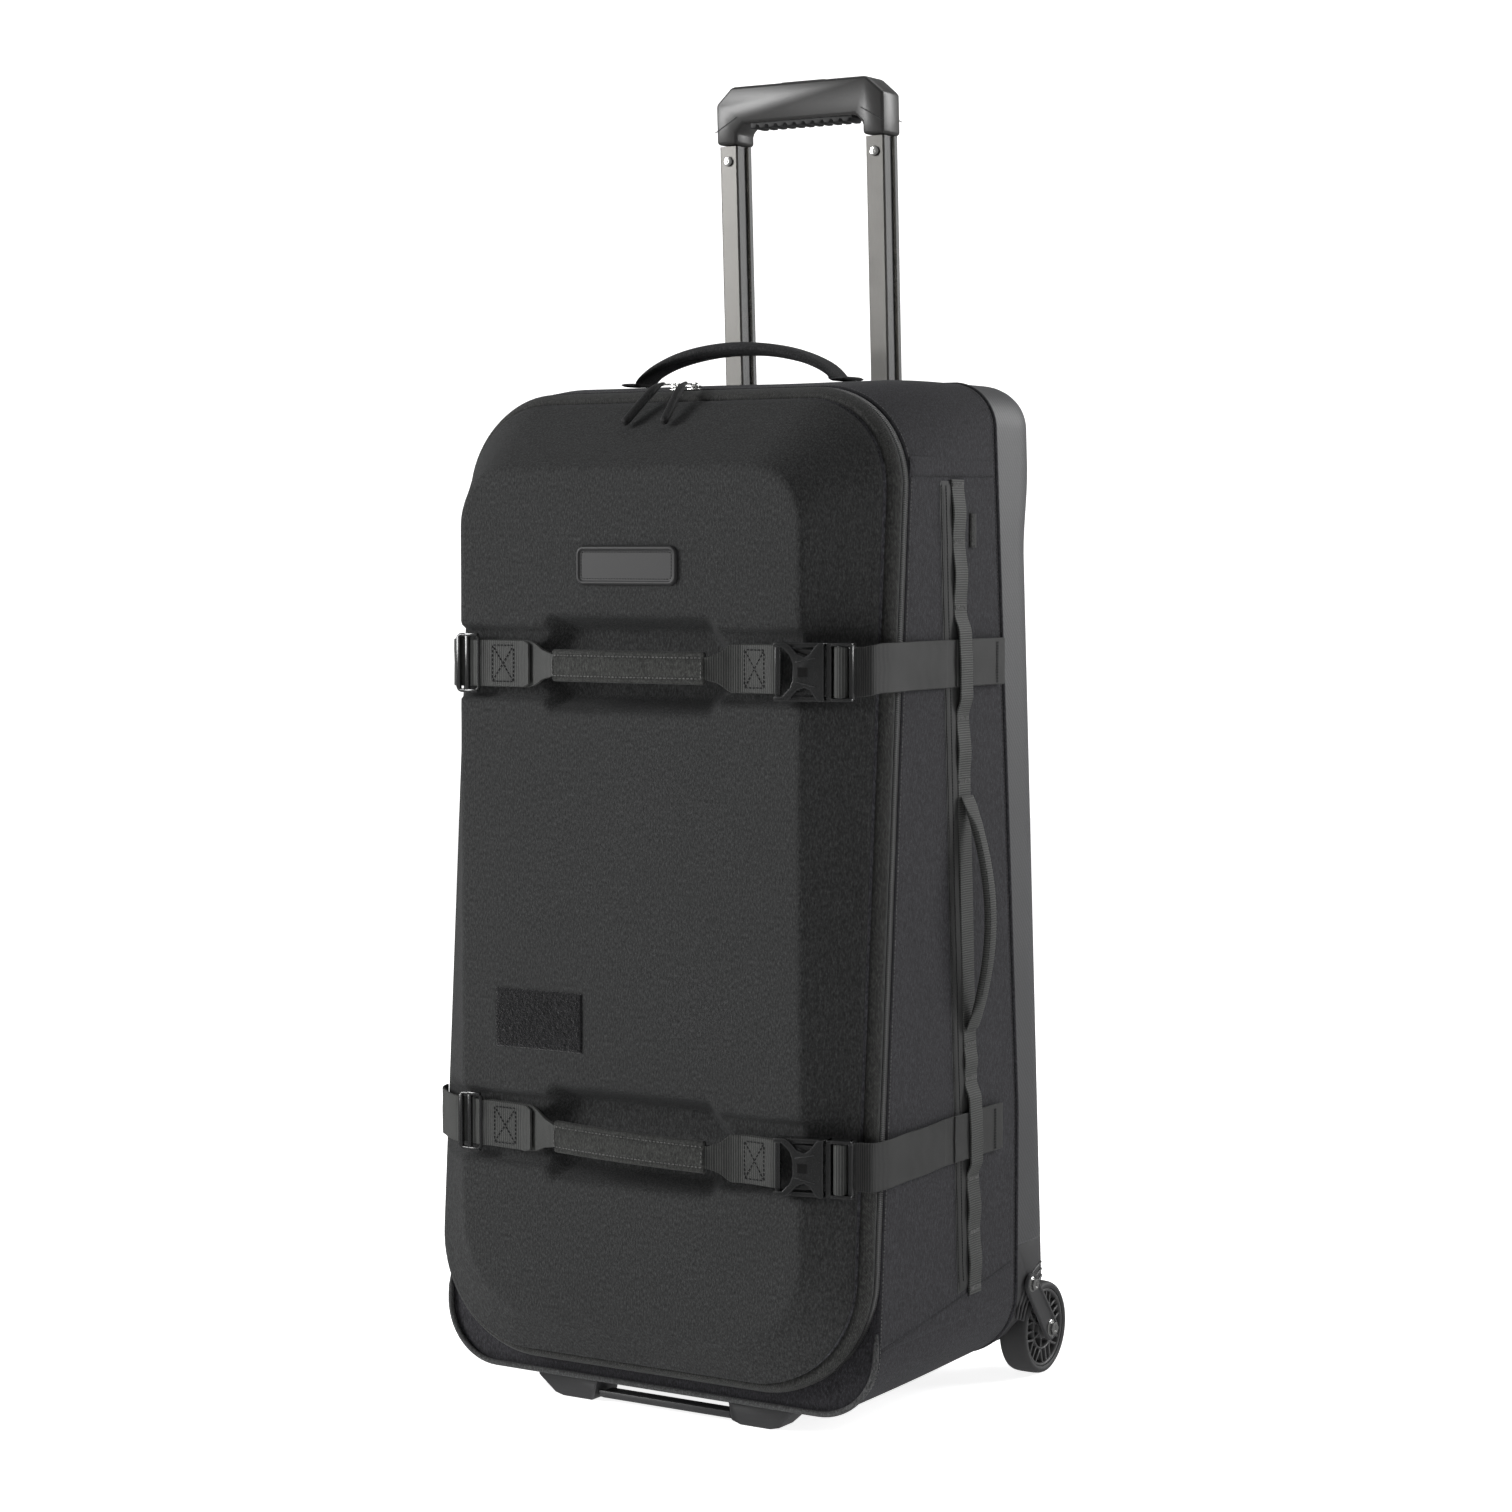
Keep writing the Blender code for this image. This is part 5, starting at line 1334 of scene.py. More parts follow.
for s, side in ((1, "right"), (-1, "left")):
    wheel(s, side)
    # outer arm: round-ended plate with a raised border and a sunk middle
    a, b = Vector((0, 298, 83)), Vector((0, WHEEL_Y, WHEEL_Z))
    d = (b - a).normalized()
    base = math.atan2(d.z, d.y)

    def arm_outline(ra, rb_, n=14):
        pts = []
        for c, r, a0 in ((a, ra, base + math.pi / 2), (b, rb_, base - math.pi / 2)):
            for k in range(n + 1):
                t = a0 + math.pi * k / n
                pts.append((c.y + r * math.cos(t), c.z + r * math.sin(t)))
        return pts

    bm = bmesh.new()
    rings = []
    for r_, x in ((0.0, 205.5), (0.0, 207.6), (-0.6, 208.4), (-2.0, 208.6), (-2.8, 207.4),
                  (-4.6, 207.2)):
        rings.append([(s * x, y, z) for y, z in arm_outline(9.4 + r_, 10.2 + r_)])
    rows = [[bm.verts.new(p) for p in r] for r in rings]
    n = len(rows[0])
    for r0, r1 in zip(rows, rows[1:]):
        for i in range(n):
            j = (i + 1) % n
            bm.faces.new((r0[i], r0[j], r1[j], r1[i]))
    bm.faces.new(rows[0])
    bm.faces.new(list(reversed(rows[-1])))
    finish_obj(f"wheel_arm_plate_{side}", bm, M["moulded"], "case", auto=40,
               replaces=(f"wheel_arm_{side}",))

    # bolts: washer, hexagon head with a dished top
    def bolt(c, r, name, node, x_end):
        bm = bmesh.new()

        def ring(rad, x, sides):
            return [bm.verts.new((s * x, c[0] + rad * math.cos(2 * math.pi * i / 24)
                                  * (1 if sides == 24 else hexf(i)),
                                  c[1] + rad * math.sin(2 * math.pi * i / 24)
                                  * (1 if sides == 24 else hexf(i)))) for i in range(24)]

        def hexf(i):
            a_ = (i * 15) % 60 - 30
            return math.cos(math.radians(30)) / math.cos(math.radians(a_))

        prof = [(r * 0.99, 206.9, 24), (r * 0.99, 208.0, 24), (r * 0.86, 208.5, 24),
                (r * 0.78, 208.6, 6), (r * 0.78, x_end - 0.9, 6), (r * 0.66, x_end, 6),
                (r * 0.40, x_end, 24), (r * 0.32, x_end - 1.0, 24)]
        rows = [ring(q, x, sd_) for q, x, sd_ in prof]
        for r0, r1 in zip(rows, rows[1:]):
            for i in range(24):
                j = (i + 1) % 24
                bm.faces.new((r0[i], r0[j], r1[j], r1[i]))
        bm.faces.new(rows[0])
        bm.faces.new(list(reversed(rows[-1])))
        finish_obj(name, bm, M["steel"], "case", auto=35, replaces=(node,))

    bolt((298, 83), 6.6, f"arm_bolt_head_{side}", f"arm_bolt_{side}", 211.6)
    bolt((WHEEL_Y, WHEEL_Z), 7.4, f"axle_bolt_head_{side}", f"axle_{side}", 212.0)
    # axle shaft through the wheel
    tube(f"axle_shaft_{side}", M["steel"], "case",
         [Vector((s * 169, WHEEL_Y, WHEEL_Z)), Vector((s * 190, WHEEL_Y, WHEEL_Z)),
          Vector((s * 206.5, WHEEL_Y, WHEEL_Z))], 4.0, seg=20)
    # three arc ribs over the wheel on the housing's outer side
    for j, rr in enumerate((47.0, 53.0, 59.0)):
        pts = []
        for k in range(15):
            t = math.radians(100 + 62 * k / 14)
            y, z = WHEEL_Y + rr * math.cos(t), WHEEL_Z + rr * math.sin(t)
            if z > 132:
                continue
            zz = z
            back = back_y(zz)
            # follow the rounded outer corner of the shell
            dy = back - ROUND - y
            if dy >= 0:
                x = HALF_W
            else:
                q = clamp01(-dy / ROUND)
                x = HALF_W - ROUND * (1 - math.sqrt(max(0.0, 1 - q * q)))
            pts.append(Vector((s * (min(x, 203.8) - 0.3), y, z)))
        if len(pts) > 2:
            tube(f"housing_rib_{side}_{j}", M["moulded"], "case", pts, 1.3, seg=8)

# covers over the wheel wells, seen from inside the open case
for s, side in ((1, "right"), (-1, "left")):
    bm = bmesh.new()
    cols = [(s * 164.6, 32.5), (s * 164.6, 60.0), (s * 164.6, 100.0), (s * 164.6, 120.6),
            (s * 166.2, 122.4), (s * 180.0, 122.6), (s * 201.4, 122.6)]
    rows = [[bm.verts.new((x, y, z)) for x, z in cols] for y in (252.0, 275.0, 300.0, 318.0)]
    for r0, r1 in zip(rows, rows[1:]):
        for i in range(len(cols) - 1):
            bm.faces.new((r0[i], r0[i + 1], r1[i + 1], r1[i]))
    f0 = [bm.verts.new((x, 251.8, z)) for x, z in cols]
    arc = [(147 + 53.5 * math.cos(math.radians(q)), 82 + 53.5 * math.sin(math.radians(q)))
           for q in (-70, -56, -42, -28, -14, 0)] + [(200.6, 121.0)]
    f1 = [bm.verts.new((s * x, 251.8, z)) for x, z in arc]
    for i in range(len(cols) - 1):
        bm.faces.new((f0[i], f0[i + 1], f1[i + 1], f1[i]))
        bm.faces.new((f0[i], f0[i + 1], rows[0][i + 1], rows[0][i]))
    finish_obj(f"wheel_well_cover_{side}", bm, M["lining"], "case", auto=50)

# two shallow rub rails moulded down the rear face
for s, side in ((1, "right"), (-1, "left")):
    bm = bmesh.new()
    prof = [(-7.0, -1.2), (-6.4, 0.5), (-4.6, 1.3), (0.0, 1.6), (4.6, 1.3), (6.4, 0.5), (7.0, -1.2)]
    rows = []
    for k in range(41):
        t = k / 40
        z = lerp(136, 676, t)
        h = smooth(clamp01(min(t, 1 - t) * 26))
        rows.append([bm.verts.new((s * 92 + x, back_y(z) + (y - 0.2) * h - 0.9 * (1 - h), z))
                     for x, y in prof])
    for r0, r1 in zip(rows, rows[1:]):
        for i in range(len(prof) - 1):
            bm.faces.new((r0[i], r0[i + 1], r1[i + 1], r1[i]))
    bm.faces.new(rows[0])
    bm.faces.new(list(reversed(rows[-1])))
    finish_obj(f"rear_rub_rail_{side}", bm, M["moulded"], "case", auto=40,
               flip=(0, 1, 0))

# ---------------------------------------------------------------- foot, bezel, bracket, tubes
hard_copy("base_foot", M["moulded"], "case", bevel=2.2, seg=3)
hard_copy("foot_grip_bar", M["moulded_dk"], "case", bevel=0.8)
hard_copy("handle_bezel", M["moulded"], "case", bevel=1.6)
hard_copy("tube_bottom_bracket", M["moulded_dk"], "case", bevel=1.0)
hard_copy("rear_top_trim", M["moulded_dk"], "case", bevel=0.6)
for side in ("left", "right"):
    hard_copy(f"outer_tube_{side}", M["tube"], "case", bevel=0.8)

# second tier on the foot's opening bar: a raised rail in front of it
bm = bmesh.new()
box_into(bm, -63.4, 63.4, 53.0, 57.5, 4.4, 10.0)
bevelled("foot_front_rail", bm, M["moulded"], "case", width=0.9)


def lining():
    """Quilted inner panel over the pull handle's tubes."""
    bm = bmesh.new()
    uv = uv_layer(bm)
    nx, nz = 48, 84
    rows = []
    for k in range(nz + 1):
        z = lerp(126, 774, k / nz)
        row = []
        for i in range(nx + 1):
            x = lerp(-184, 184, i / nx)
            e = min(x + 184, 184 - x, z - 126, 774 - z)
            q = 0.5 * (math.cos(math.pi * 2 * (x + z) / 62) + math.cos(math.pi * 2 * (x - z) / 62))
            y = tube_y(z) - 17.9 - 0.8 - 0.9 * q * clamp01(e / 10)
            row.append(bm.verts.new((x, y, z)))
        rows.append(row)
    for r0, r1 in zip(rows, rows[1:]):
        for i in range(nx):
            f = bm.faces.new((r0[i], r0[i + 1], r1[i + 1], r1[i]))
    for f in bm.faces:
        for l in f.loops:
            l[uv].uv = (l.vert.co.x * MM, l.vert.co.z * MM)
    ob = finish_obj("lining_cloth_panel", bm, M["lining"], "case", flip=(0, -1, 0),
                    replaces=("lining_panel",))
    m_ = ob.modifiers.new("wall", "SOLIDIFY")
    m_.thickness = 1.6 * MM
    m_.offset = -1.0
    dg = bpy.context.evaluated_depsgraph_get()
    me2 = bpy.data.meshes.new_from_object(ob.evaluated_get(dg))
    ob.modifiers.clear()
    ob.data = me2
    me2.shade_smooth()


lining()

# the lid's inside: a lining skin behind the covering
def lid_lining():
    nx, nz = 52, 112
    xs = [-FLAT_X + 2 * FLAT_X * i / nx for i in range(nx + 1)]
    zs = [FLAT_Z0 + (FLAT_Z1 - FLAT_Z0) * k / nz for k in range(nz + 1)]
    bm = bmesh.new()
    uv = uv_layer(bm)
    grid = [[bm.verts.new((x, lid_y(x, z) + 5.2, z)) for x in xs] for z in zs]
    for r0, r1 in zip(grid, grid[1:]):
        for i in range(nx):
            bm.faces.new((r0[i], r0[i + 1], r1[i + 1], r1[i]))
    loop = (grid[0] + [r[-1] for r in grid[1:-1]] + list(reversed(grid[-1]))
            + [r[0] for r in reversed(grid[1:-1])])
    keys = [(v.co.x, v.co.z) for v in loop]
    prev, n = loop, len(loop)
    for s_ in range(1, 7):
        t = s_ / 6
        row = []
        for x, z in keys:
            rx, rz = rim_point(x if abs(abs(x) - FLAT_X) > 1e-3 else math.copysign(FLAT_X, x), z)
            px, pz = lerp(x, rx, t * 0.955), lerp(z, rz, t * 0.955)
            row.append(bm.verts.new((px, lid_y(px, pz) + 5.2, pz)))
        for i in range(n):
            j = (i + 1) % n
            bm.faces.new((prev[i], prev[j], row[j], row[i]))
        prev = row
    row = []
    for x, z in keys:
        rx, rz = rim_point(x if abs(abs(x) - FLAT_X) > 1e-3 else math.copysign(FLAT_X, x), z)
        qx, qz = rx * 1.014, 430 + (rz - 430) * 1.007
        row.append(bm.verts.new((qx, rim_y(qz) - 7.4, qz)))
    for i in range(n):
        j = (i + 1) % n
        bm.faces.new((prev[i], prev[j], row[j], row[i]))
    for f in bm.faces:
        for l in f.loops:
            l[uv].uv = (l.vert.co.x * MM, l.vert.co.z * MM)
    return finish_obj("lid_inner_lining", bm, M["lining"], "lid", flip=(0, 1, 0))


lid_lining()


# ---------------------------------------------------------------- pull handle
LEAN = Matrix.Rotation(math.atan(0.045), 4, "X")


def lean_m(zc):
    return Matrix.Translation((0, tube_y(zc), zc)) @ LEAN @ Matrix.Translation((0, 0, -zc))


def bar(s, side):
    """Extruded bar: satin faces, black sides with a bright-edged groove."""
    z0, z1 = 690.0, 1040.4
    zc = (z0 + z1) / 2
    hw, hd = BAR_W / 2, BAR_D / 2
    # profile in (x, y): outer side outwards; groove on both X sides
    half = [(hw - 1.4, -hd), (hw - 0.5, -hd + 0.35), (hw, -hd + 1.4), (hw, -6.2), (hw - 0.5, -5.9),
            (hw - 2.4, -5.6), (hw - 2.4, 5.6), (hw - 0.5, 5.9), (hw, 6.2), (hw, hd - 1.4),
            (hw - 0.5, hd - 0.35), (hw - 1.4, hd)]
    prof = half + [(-x, y) for x, y in reversed(half)]
    n = len(prof)
    bm = bmesh.new()
    mtx = lean_m(zc)
    rows = []
    for z in (z0, 760.0, 850.0, 940.0, z1):
        rows.append([bm.verts.new(mtx @ Vector((s * TUBE_X + x, y, z))) for x, y in prof])
    for r0, r1 in zip(rows, rows[1:]):
        for i in range(n):
            j = (i + 1) % n
            f = bm.faces.new((r0[i], r0[j], r1[j], r1[i]))
            a, b = prof[i], prof[j]
            if abs(a[0]) > hw - 0.1 and abs(b[0]) > hw - 0.1:
                f.material_index = 1
            elif abs(abs(a[0]) - (hw - 2.4)) < 0.05 and abs(abs(b[0]) - (hw - 2.4)) < 0.05 \
                    and a[0] * b[0] > 0:
                f.material_index = 1
            elif abs(a[1]) < 6.5 and abs(b[1]) < 6.5 and a[0] * b[0] > 0:
                f.material_index = 2
            else:
                f.material_index = 0
    bm.faces.new(rows[0])
    bm.faces.new(list(reversed(rows[-1])))
    return finish_obj(f"pull_bar_{side}", bm, [M["bar"], M["bar_side"], M["bar_edge"]],
                      "pull_handle", smooth_shade=False,
                      replaces=(f"handle_bar_{side}",))


for s, side in ((-1, "left"), (1, "right")):
    bar(s, side)
    # screw: washer and a round head with a dimple in the middle
    y = tube_y(1027) - BAR_D / 2
    bm = bmesh.new()
    rows = []
    for r, yy in ((4.2, y - 0.4), (4.2, y - 0.9), (3.9, y - 1.5), (2.6, y - 1.9), (1.2, y - 1.9),
                  (0.9, y - 1.1)):
        rows.append([bm.verts.new((s * TUBE_X + r * math.cos(2 * math.pi * i / 28), yy,
                                   1027 + r * math.sin(2 * math.pi * i / 28)))
                     for i in range(28)])
    for r0, r1 in zip(rows, rows[1:]):
        for i in range(28):
            bm.faces.new((r0[i], r0[(i + 1) % 28], r1[(i + 1) % 28], r1[i]))
    bm.faces.new(rows[0])
    bm.faces.new(list(reversed(rows[-1])))
    finish_obj(f"grip_screw_head_{side}", bm, M["steel"], "pull_handle", auto=30,
               replaces=(f"grip_screw_{side}",))

hard_copy("handle_grip", M["grip"], "pull_handle", bevel=1.2, seg=2)
hard_copy("grip_rubber", M["rubber"], "pull_handle", bevel=0.5)
hard_copy("release_button", M["moulded_dk"], "button", bevel=0.6)
# shoulder joint lines on the grip
for s, side in ((-1, "left"), (1, "right")):
    bm = bmesh.new()
    for yo in (-15.25, 15.25):
        m_ = lean_m(1058)
        p = [Vector((s * 83.0, yo, 1052)), Vector((s * 61.0, yo, 1064))]
        d = (p[1] - p[0]).normalized()
        nn = Vector((0, 1 if yo > 0 else -1, 0))
        sv = d.cross(nn) * 0.35
        q = [p[0] + sv, p[1] + sv, p[1] - sv, p[0] - sv]
        box = [m_ @ (v + nn * dd) for dd in (-0.4, 0.05) for v in q]
        vs = [bm.verts.new(v) for v in box]
        for f in ((0, 1, 2, 3), (7, 6, 5, 4), (0, 4, 5, 1), (1, 5, 6, 2), (2, 6, 7, 3),
                  (3, 7, 4, 0)):
            bm.faces.new([vs[i] for i in f])
    finish_obj(f"grip_joint_line_{side}", bm, M["bar_side"], "pull_handle",
               smooth_shade=False)

# ---------------------------------------------------------------- top handle
def top_handle():
    pts, half = [], 94.0
    for k in range(25):
        a = math.pi * k / 24
        pts.append(Vector((-half * math.cos(a), 170.0, 833.0 + 27.5 * math.sin(a) ** 1.3)))
    pts = [Vector((-half - 14, 170.0, 833.2)), Vector((-half - 7, 170.0, 833.2))] + pts \
        + [Vector((half + 7, 170.0, 833.2)), Vector((half + 14, 170.0, 833.2))]
    path = densify(catmull(pts, 3), 3.0)
    n = len(path)

    def sec(i, s_):
        t = i / (n - 1)
        m = math.sin(math.pi * clamp01((t - 0.07) / 0.86))
        th = 1.5 + 4.0 * m ** 0.6
        w = 15.6
        out = []
        for k in range(24):
            a = 2 * math.pi * k / 24
            ca, sa = math.cos(a), math.sin(a)
            # padded middle, thin flat hems at both edges
            x = w * math.copysign(abs(ca) ** 0.55, ca)
            hem = smooth(clamp01((abs(x) - 11.2) / 3.0))
            y = th * math.copysign(abs(sa) ** 0.75, sa) * lerp(1.0, 0.66, hem)
            out.append((x, y))
        return out

    bm, s_ = sweep_section(path, (0, 1, 0), sec)
    ob = finish_obj("top_carry_handle", bm, M["handle"], "case",
                    replaces=("top_handle",))
    lines = []
    for yo in (-11.6, 11.6):
        line = []
        for i, p in enumerate(path[4:-4]):
            j = i + 4
            d = (path[j + 1] - path[j - 1]).normalized()
            nn = Vector((0, 1, 0)).cross(d).normalized()
            if nn.z < 0:
                nn = -nn
            t = j / (n - 1)
            m = math.sin(math.pi * clamp01((t - 0.07) / 0.86))
            th = (1.5 + 4.0 * m ** 0.6) * 0.66
            line.append((p + Vector((0, yo, 0)) + nn * th, nn))
        lines.append(line)
    stitches("top_handle_stitches", lines, "case", M["thread_dark"], pitch=3.2,
             length=2.3)


top_handle()


# ---------------------------------------------------------------- daisy strip and side handle
def smooth_path(zs, xs, yf, step=2.5):
    out = []
    n = int(abs(zs[0] - zs[-1]) / step)
    zz = list(reversed(zs))
    xx = list(reversed(xs))
    for k in range(n + 1):
        z = zs[0] + (zs[-1] - zs[0]) * k / n
        # smoothstep between keys
        i = max(0, min(len(zz) - 2, int(np.searchsorted(zz, z)) - 1))
        t = smooth(clamp01((z - zz[i]) / (zz[i + 1] - zz[i])))
        out.append(Vector((lerp(xx[i], xx[i + 1], t), yf(z), z)))
    return out


tacks = [747, 702, 650, 562, 512, 300, 272, 190, 146, 100]
zk, xk = [], []
for z, x in ((751, 207.0), (747, 206.9), (726, 208.6), (704, 206.9), (700, 206.9), (676, 208.8),
             (652, 206.9), (646, 206.9), (630, 211.2), (605, 211.8), (580, 211.2), (564, 206.9),
             (560, 206.9), (536, 208.4), (514, 206.9), (500, 206.9), (400, 206.8), (310, 206.8),
             (302, 206.9), (298, 206.9), (286, 208.2), (274, 206.9), (270, 206.9), (254, 211.2),
             (229, 211.8), (204, 211.2), (192, 206.9), (188, 206.9), (166, 208.6), (148, 206.9),
             (144, 206.9), (122, 208.4), (102, 206.9), (95, 206.9)):
    zk.append(z)
    xk.append(x)
ribbon("daisy_chain_strip", M["web"], "case",
       smooth_path(zk, xk, strip_y), (0, 1, 0), 20.5, 1.5, replaces=("side_daisy_strip",),
       wob=0.12)


def tack_lines(z, x, w=19.0, yf=None):
    y = (yf or strip_y)(z)
    return [((x, y - w / 2, z), (1, 0, 0)), ((x, y + w / 2, z + 0.4), (1, 0, 0))]


lines = []
for z in tacks:
    for dz in (-1.2, -0.4, 0.4, 1.2):
        lines.append(tack_lines(z + dz, 207.75))
stitches("daisy_bar_tacks", lines, "case", pitch=2.0, length=1.9, r=0.42)
lines = []
for off in (-26.4, -18.6, 9.6):
    line = []
    for k in range(80):
        z = lerp(747, 108, k / 79)
        y = strip_y(z) + off
        line.append(((wall_x(y, z) + 1.4, y, z), (1, 0, 0)))
    lines.append(line)
stitches("base_tape_stitches", lines, "case", M["thread_dark"], pitch=2.6, length=2.2,
         r=0.42)


def side_handle():
    pts = []
    for k in range(25):
        t = k / 24
        bow = math.sin(math.pi * t) ** 0.85
        z = 500 - 188 * t
        pts.append(Vector((209.4 + 18.0 * bow, strip_y(z) + 2.0 * bow, z)))
    path = densify(catmull(pts, 3), 2.5)
    n = len(path)

    def sec(i, s_):
        t = i / (n - 1)
        e = min(t, 1 - t)
        k = smooth(clamp01((e - 0.02) / 0.12))
        w = lerp(10.2, 7.0, k)
        th = lerp(0.9, 3.2, k)
        out = []
        for j in range(20):
            a = 2 * math.pi * j / 20
            ca, sa = math.cos(a), math.sin(a)
            x = w * math.copysign(abs(ca) ** 0.6, ca)
            y = th * math.copysign(abs(sa) ** 0.7, sa)
            # a fold line along the outer face
            y -= 0.9 * k * math.exp(-((x - 1.5) / 1.3) ** 2) * (1 if sa < 0 else 0) * -1
            y -= 0.9 * k * math.exp(-((x - 1.5) / 1.3) ** 2) * (1 if sa > 0 else 0)
            out.append((x, y))
        return out

    bm, s_ = sweep_section(path, (0, 1, 0), sec)
    finish_obj("side_carry_handle", bm, M["web"], "case", replaces=("side_handle",))
    lines = []
    for off in (-5.2, 4.8):
        line = []
        for i in range(int(n * 0.14), int(n * 0.86)):
            d = (path[i + 1] - path[i - 1]).normalized()
            nn = d.cross(Vector((0, 1, 0))).normalized()
            if nn.x < 0:
                nn = -nn
            line.append((path[i] + Vector((0, off, 0)) + nn * 2.6, nn))
        lines.append(line)
    stitches("side_handle_stitches", lines, "case", M["thread_dark"], pitch=3.0,
             length=2.2)
    lines = []
    for z in (497, 316):
        for dz in (-1.2, -0.4, 0.4, 1.2):
            lines.append(tack_lines(z + dz, 210.6))
    stitches("side_handle_tacks", lines, "case", pitch=2.0, length=1.9, r=0.42)


side_handle()

# folded blank tag
path = [Vector((206.2, 185.2, 0)), Vector((206.9, 188, 0)), Vector((207.1, 193, 0)),
        Vector((206.8, 194.8, 0)), Vector((206.3, 193.5, 0)), Vector((206.1, 187, 0))]
bm = bmesh.new()
rings = [[(p.x - 0.0, p.y, z) for p in path] for z in (697.4, 700, 711, 722, 724.6)]
bm, rows = sweep_rings(rings, closed_ring=False)
ob = finish_obj("blank_side_tag", bm, M["binding"], "case", flip=(1, 0, 0),
                replaces=("side_tag",))
m_ = ob.modifiers.new("wall", "SOLIDIFY")
m_.thickness = 0.35 * MM
dg = bpy.context.evaluated_depsgraph_get()
me2 = bpy.data.meshes.new_from_object(ob.evaluated_get(dg))
ob.modifiers.clear()
ob.data = me2

# ---------------------------------------------------------------- straps
BUCKLE = Matrix.Translation((143.0, -5.0, 0.0)) @ Matrix.Rotation(math.radians(14), 4, "Z")


def bpt(u, v, w):
    return BUCKLE @ Vector((u, v, w))


def web_path(points, step=2.5, per=6):
    return densify(catmull(points, per), step)


def xbox(x0, x1, y, zc, hz=15.0, out=(0, -1, 0), yf=None):
    """Box and cross of stitches on the webbing's front."""
    yy = yf or (lambda x: y)

    def ln(a, b):
        return [((lerp(a[0], b[0], k / 8), yy(lerp(a[0], b[0], k / 8)), lerp(a[1], b[1], k / 8)),
                 out) for k in range(9)]

    a, b, c, d = (x0, zc - hz), (x1, zc - hz), (x1, zc + hz), (x0, zc + hz)
    return [ln(a, b), ln(b, c), ln(c, d), ln(d, a), ln(a, c), ln(b, d)]


for zc0, level in ((UP_Z, "upper"), (LO_Z, "lower")):
    up = (0, 0, 1)
    rim = rim_y(zc0)
    tilt = 0.0 if level == "upper" else -0.022

    def Z(x, zc=zc0, tilt=tilt):
        """The lower strap hangs slightly down to the right."""
        return zc + tilt * max(-160.0, min(x, 150.0))

    pts = [(-208.4, rim - 1), (-207.2, rim - 6.5), (-203.8, rim - 12.5), (-198.9, rim - 19.3),
           (-192, 0.83 * (rim - 15.5) - 4.8), (-179, 0.47 * (rim - 15.5) - 5.6),
           (-166, SL_Y - 2.0), (-156, SL_Y - 0.2), (-146, SL_Y - 0.6), (-136, SL_Y - 0.8),
           (-102, SL_Y - 0.8), (-94, SL_Y - 1.5), (-84, -2.6), (-74, -7.4), (-64, -11.8),
           (-54, -14.6), (-30, -17.2), (13, -18.4), (55, -17.0), (80, -14.8), (90, -11.4),
           (99, -6.4), (108, -2.4), (116, -0.9), (128, -1.6), (140.4, -2.4)]
    path = web_path([(x, y, Z(x)) for x, y in pts])
    xs_ = [p.x for p in path]

    def width(t, xs_=xs_):
        x = xs_[min(len(xs_) - 1, int(round(t * (len(xs_) - 1))))]
        return interp([WEB_W, WEB_W, 34, 24, 18, 18, 24, 34, WEB_W, WEB_W],
                      [-300, -94, -84, -72, -58, 84, 96, 104, 110, 300], x)

    def thick(t, xs_=xs_):
        x = xs_[min(len(xs_) - 1, int(round(t * (len(xs_) - 1))))]
        return interp([1.7, 1.7, 2.6, 3.4, 3.4, 2.6, 1.7, 1.7],
                      [-300, -96, -76, -60, 84, 98, 108, 300], x)

    ribbon(f"front_webbing_{level}", M["web"], "lid", path, up, width, thick,
           replaces=(f"handle_strap_{level}",), wob=0.15)
    # doubled webbing: the layer that comes back from the ladder lock, and its loop end
    p2 = [(-146.5, -0.6), (-143.5, -1.8), (-138, -1.4), (-131, -0.2), (-104, -0.2), (-98, -1.3),
          (-93, -2.6), (-89, -4.6)]
    ribbon(f"webbing_fold_left_{level}", M["web"], "lid",
           web_path([(x, y, Z(x)) for x, y in p2], 2.0), up,
           lambda t: WEB_W - 0.6 - 5.0 * smooth(clamp01((t - 0.8) / 0.2)), 1.6, wob=0.2, seed=3)
    p3 = [(92, -13.2), (97, -10.0), (102, -6.6), (107, -4.6), (111, -3.2), (120, -2.9),
          (132, -3.8), (138, -4.4), (142, -3.9)]
    ribbon(f"webbing_fold_right_{level}", M["web"], "lid",
           web_path([(x, y, Z(x)) for x, y in p3], 2.0), up,
           lambda t: WEB_W - 0.6 - 16.0 * smooth(clamp01((0.28 - t) / 0.28)), 1.6, wob=0.2, seed=5)
    # stitched boxes
    lines = xbox(-128, -107, -1.15, Z(-118), 14.5) + \
        xbox(113, 131, -3.9, Z(122), 14.5, yf=lambda x: -3.75 - max(0, x - 120) * 0.075)
    stitches(f"box_stitches_{level}", lines, "lid", M["thread_dark"], pitch=3.4,
             length=2.3, r=0.55)

    # padded sleeve: two rolled edges, a stitched groove inside each
    sp = [(-57, -14.4), (-52, -15.0), (-30, -17.3), (13, -18.6), (55, -17.1), (79, -15.0),
          (84, -14.3)]
    spath = web_path([(x, y, Z(x)) for x, y in sp], 2.5)
    ns = len(spath)

    def sleeve(i, s_, n=ns):
        t = i / (n - 1)
        e = min(t, 1 - t) * (n - 1) * 2.5
        k = lerp(0.72, 1.0, smooth(clamp01(e / 5.0)))
        out = []
        for j in range(48):
            a = 2 * math.pi * j / 48
            ca, sa = math.cos(a), math.sin(a)
            w = 12.7 * math.copysign(abs(ca) ** 0.7, ca)
            th = 4.6 * math.copysign(abs(sa) ** 0.7, sa)
            groove = math.exp(-((abs(w) - 8.0) / 1.5) ** 2)
            th *= 1 - 0.52 * groove - 0.16 * clamp01((7.0 - abs(w)) / 2.0)
            th += 0.12 * fbm(w, s_, i, 5) * 3
            out.append((w * lerp(0.86, 1.0, k), th * k))
        return out

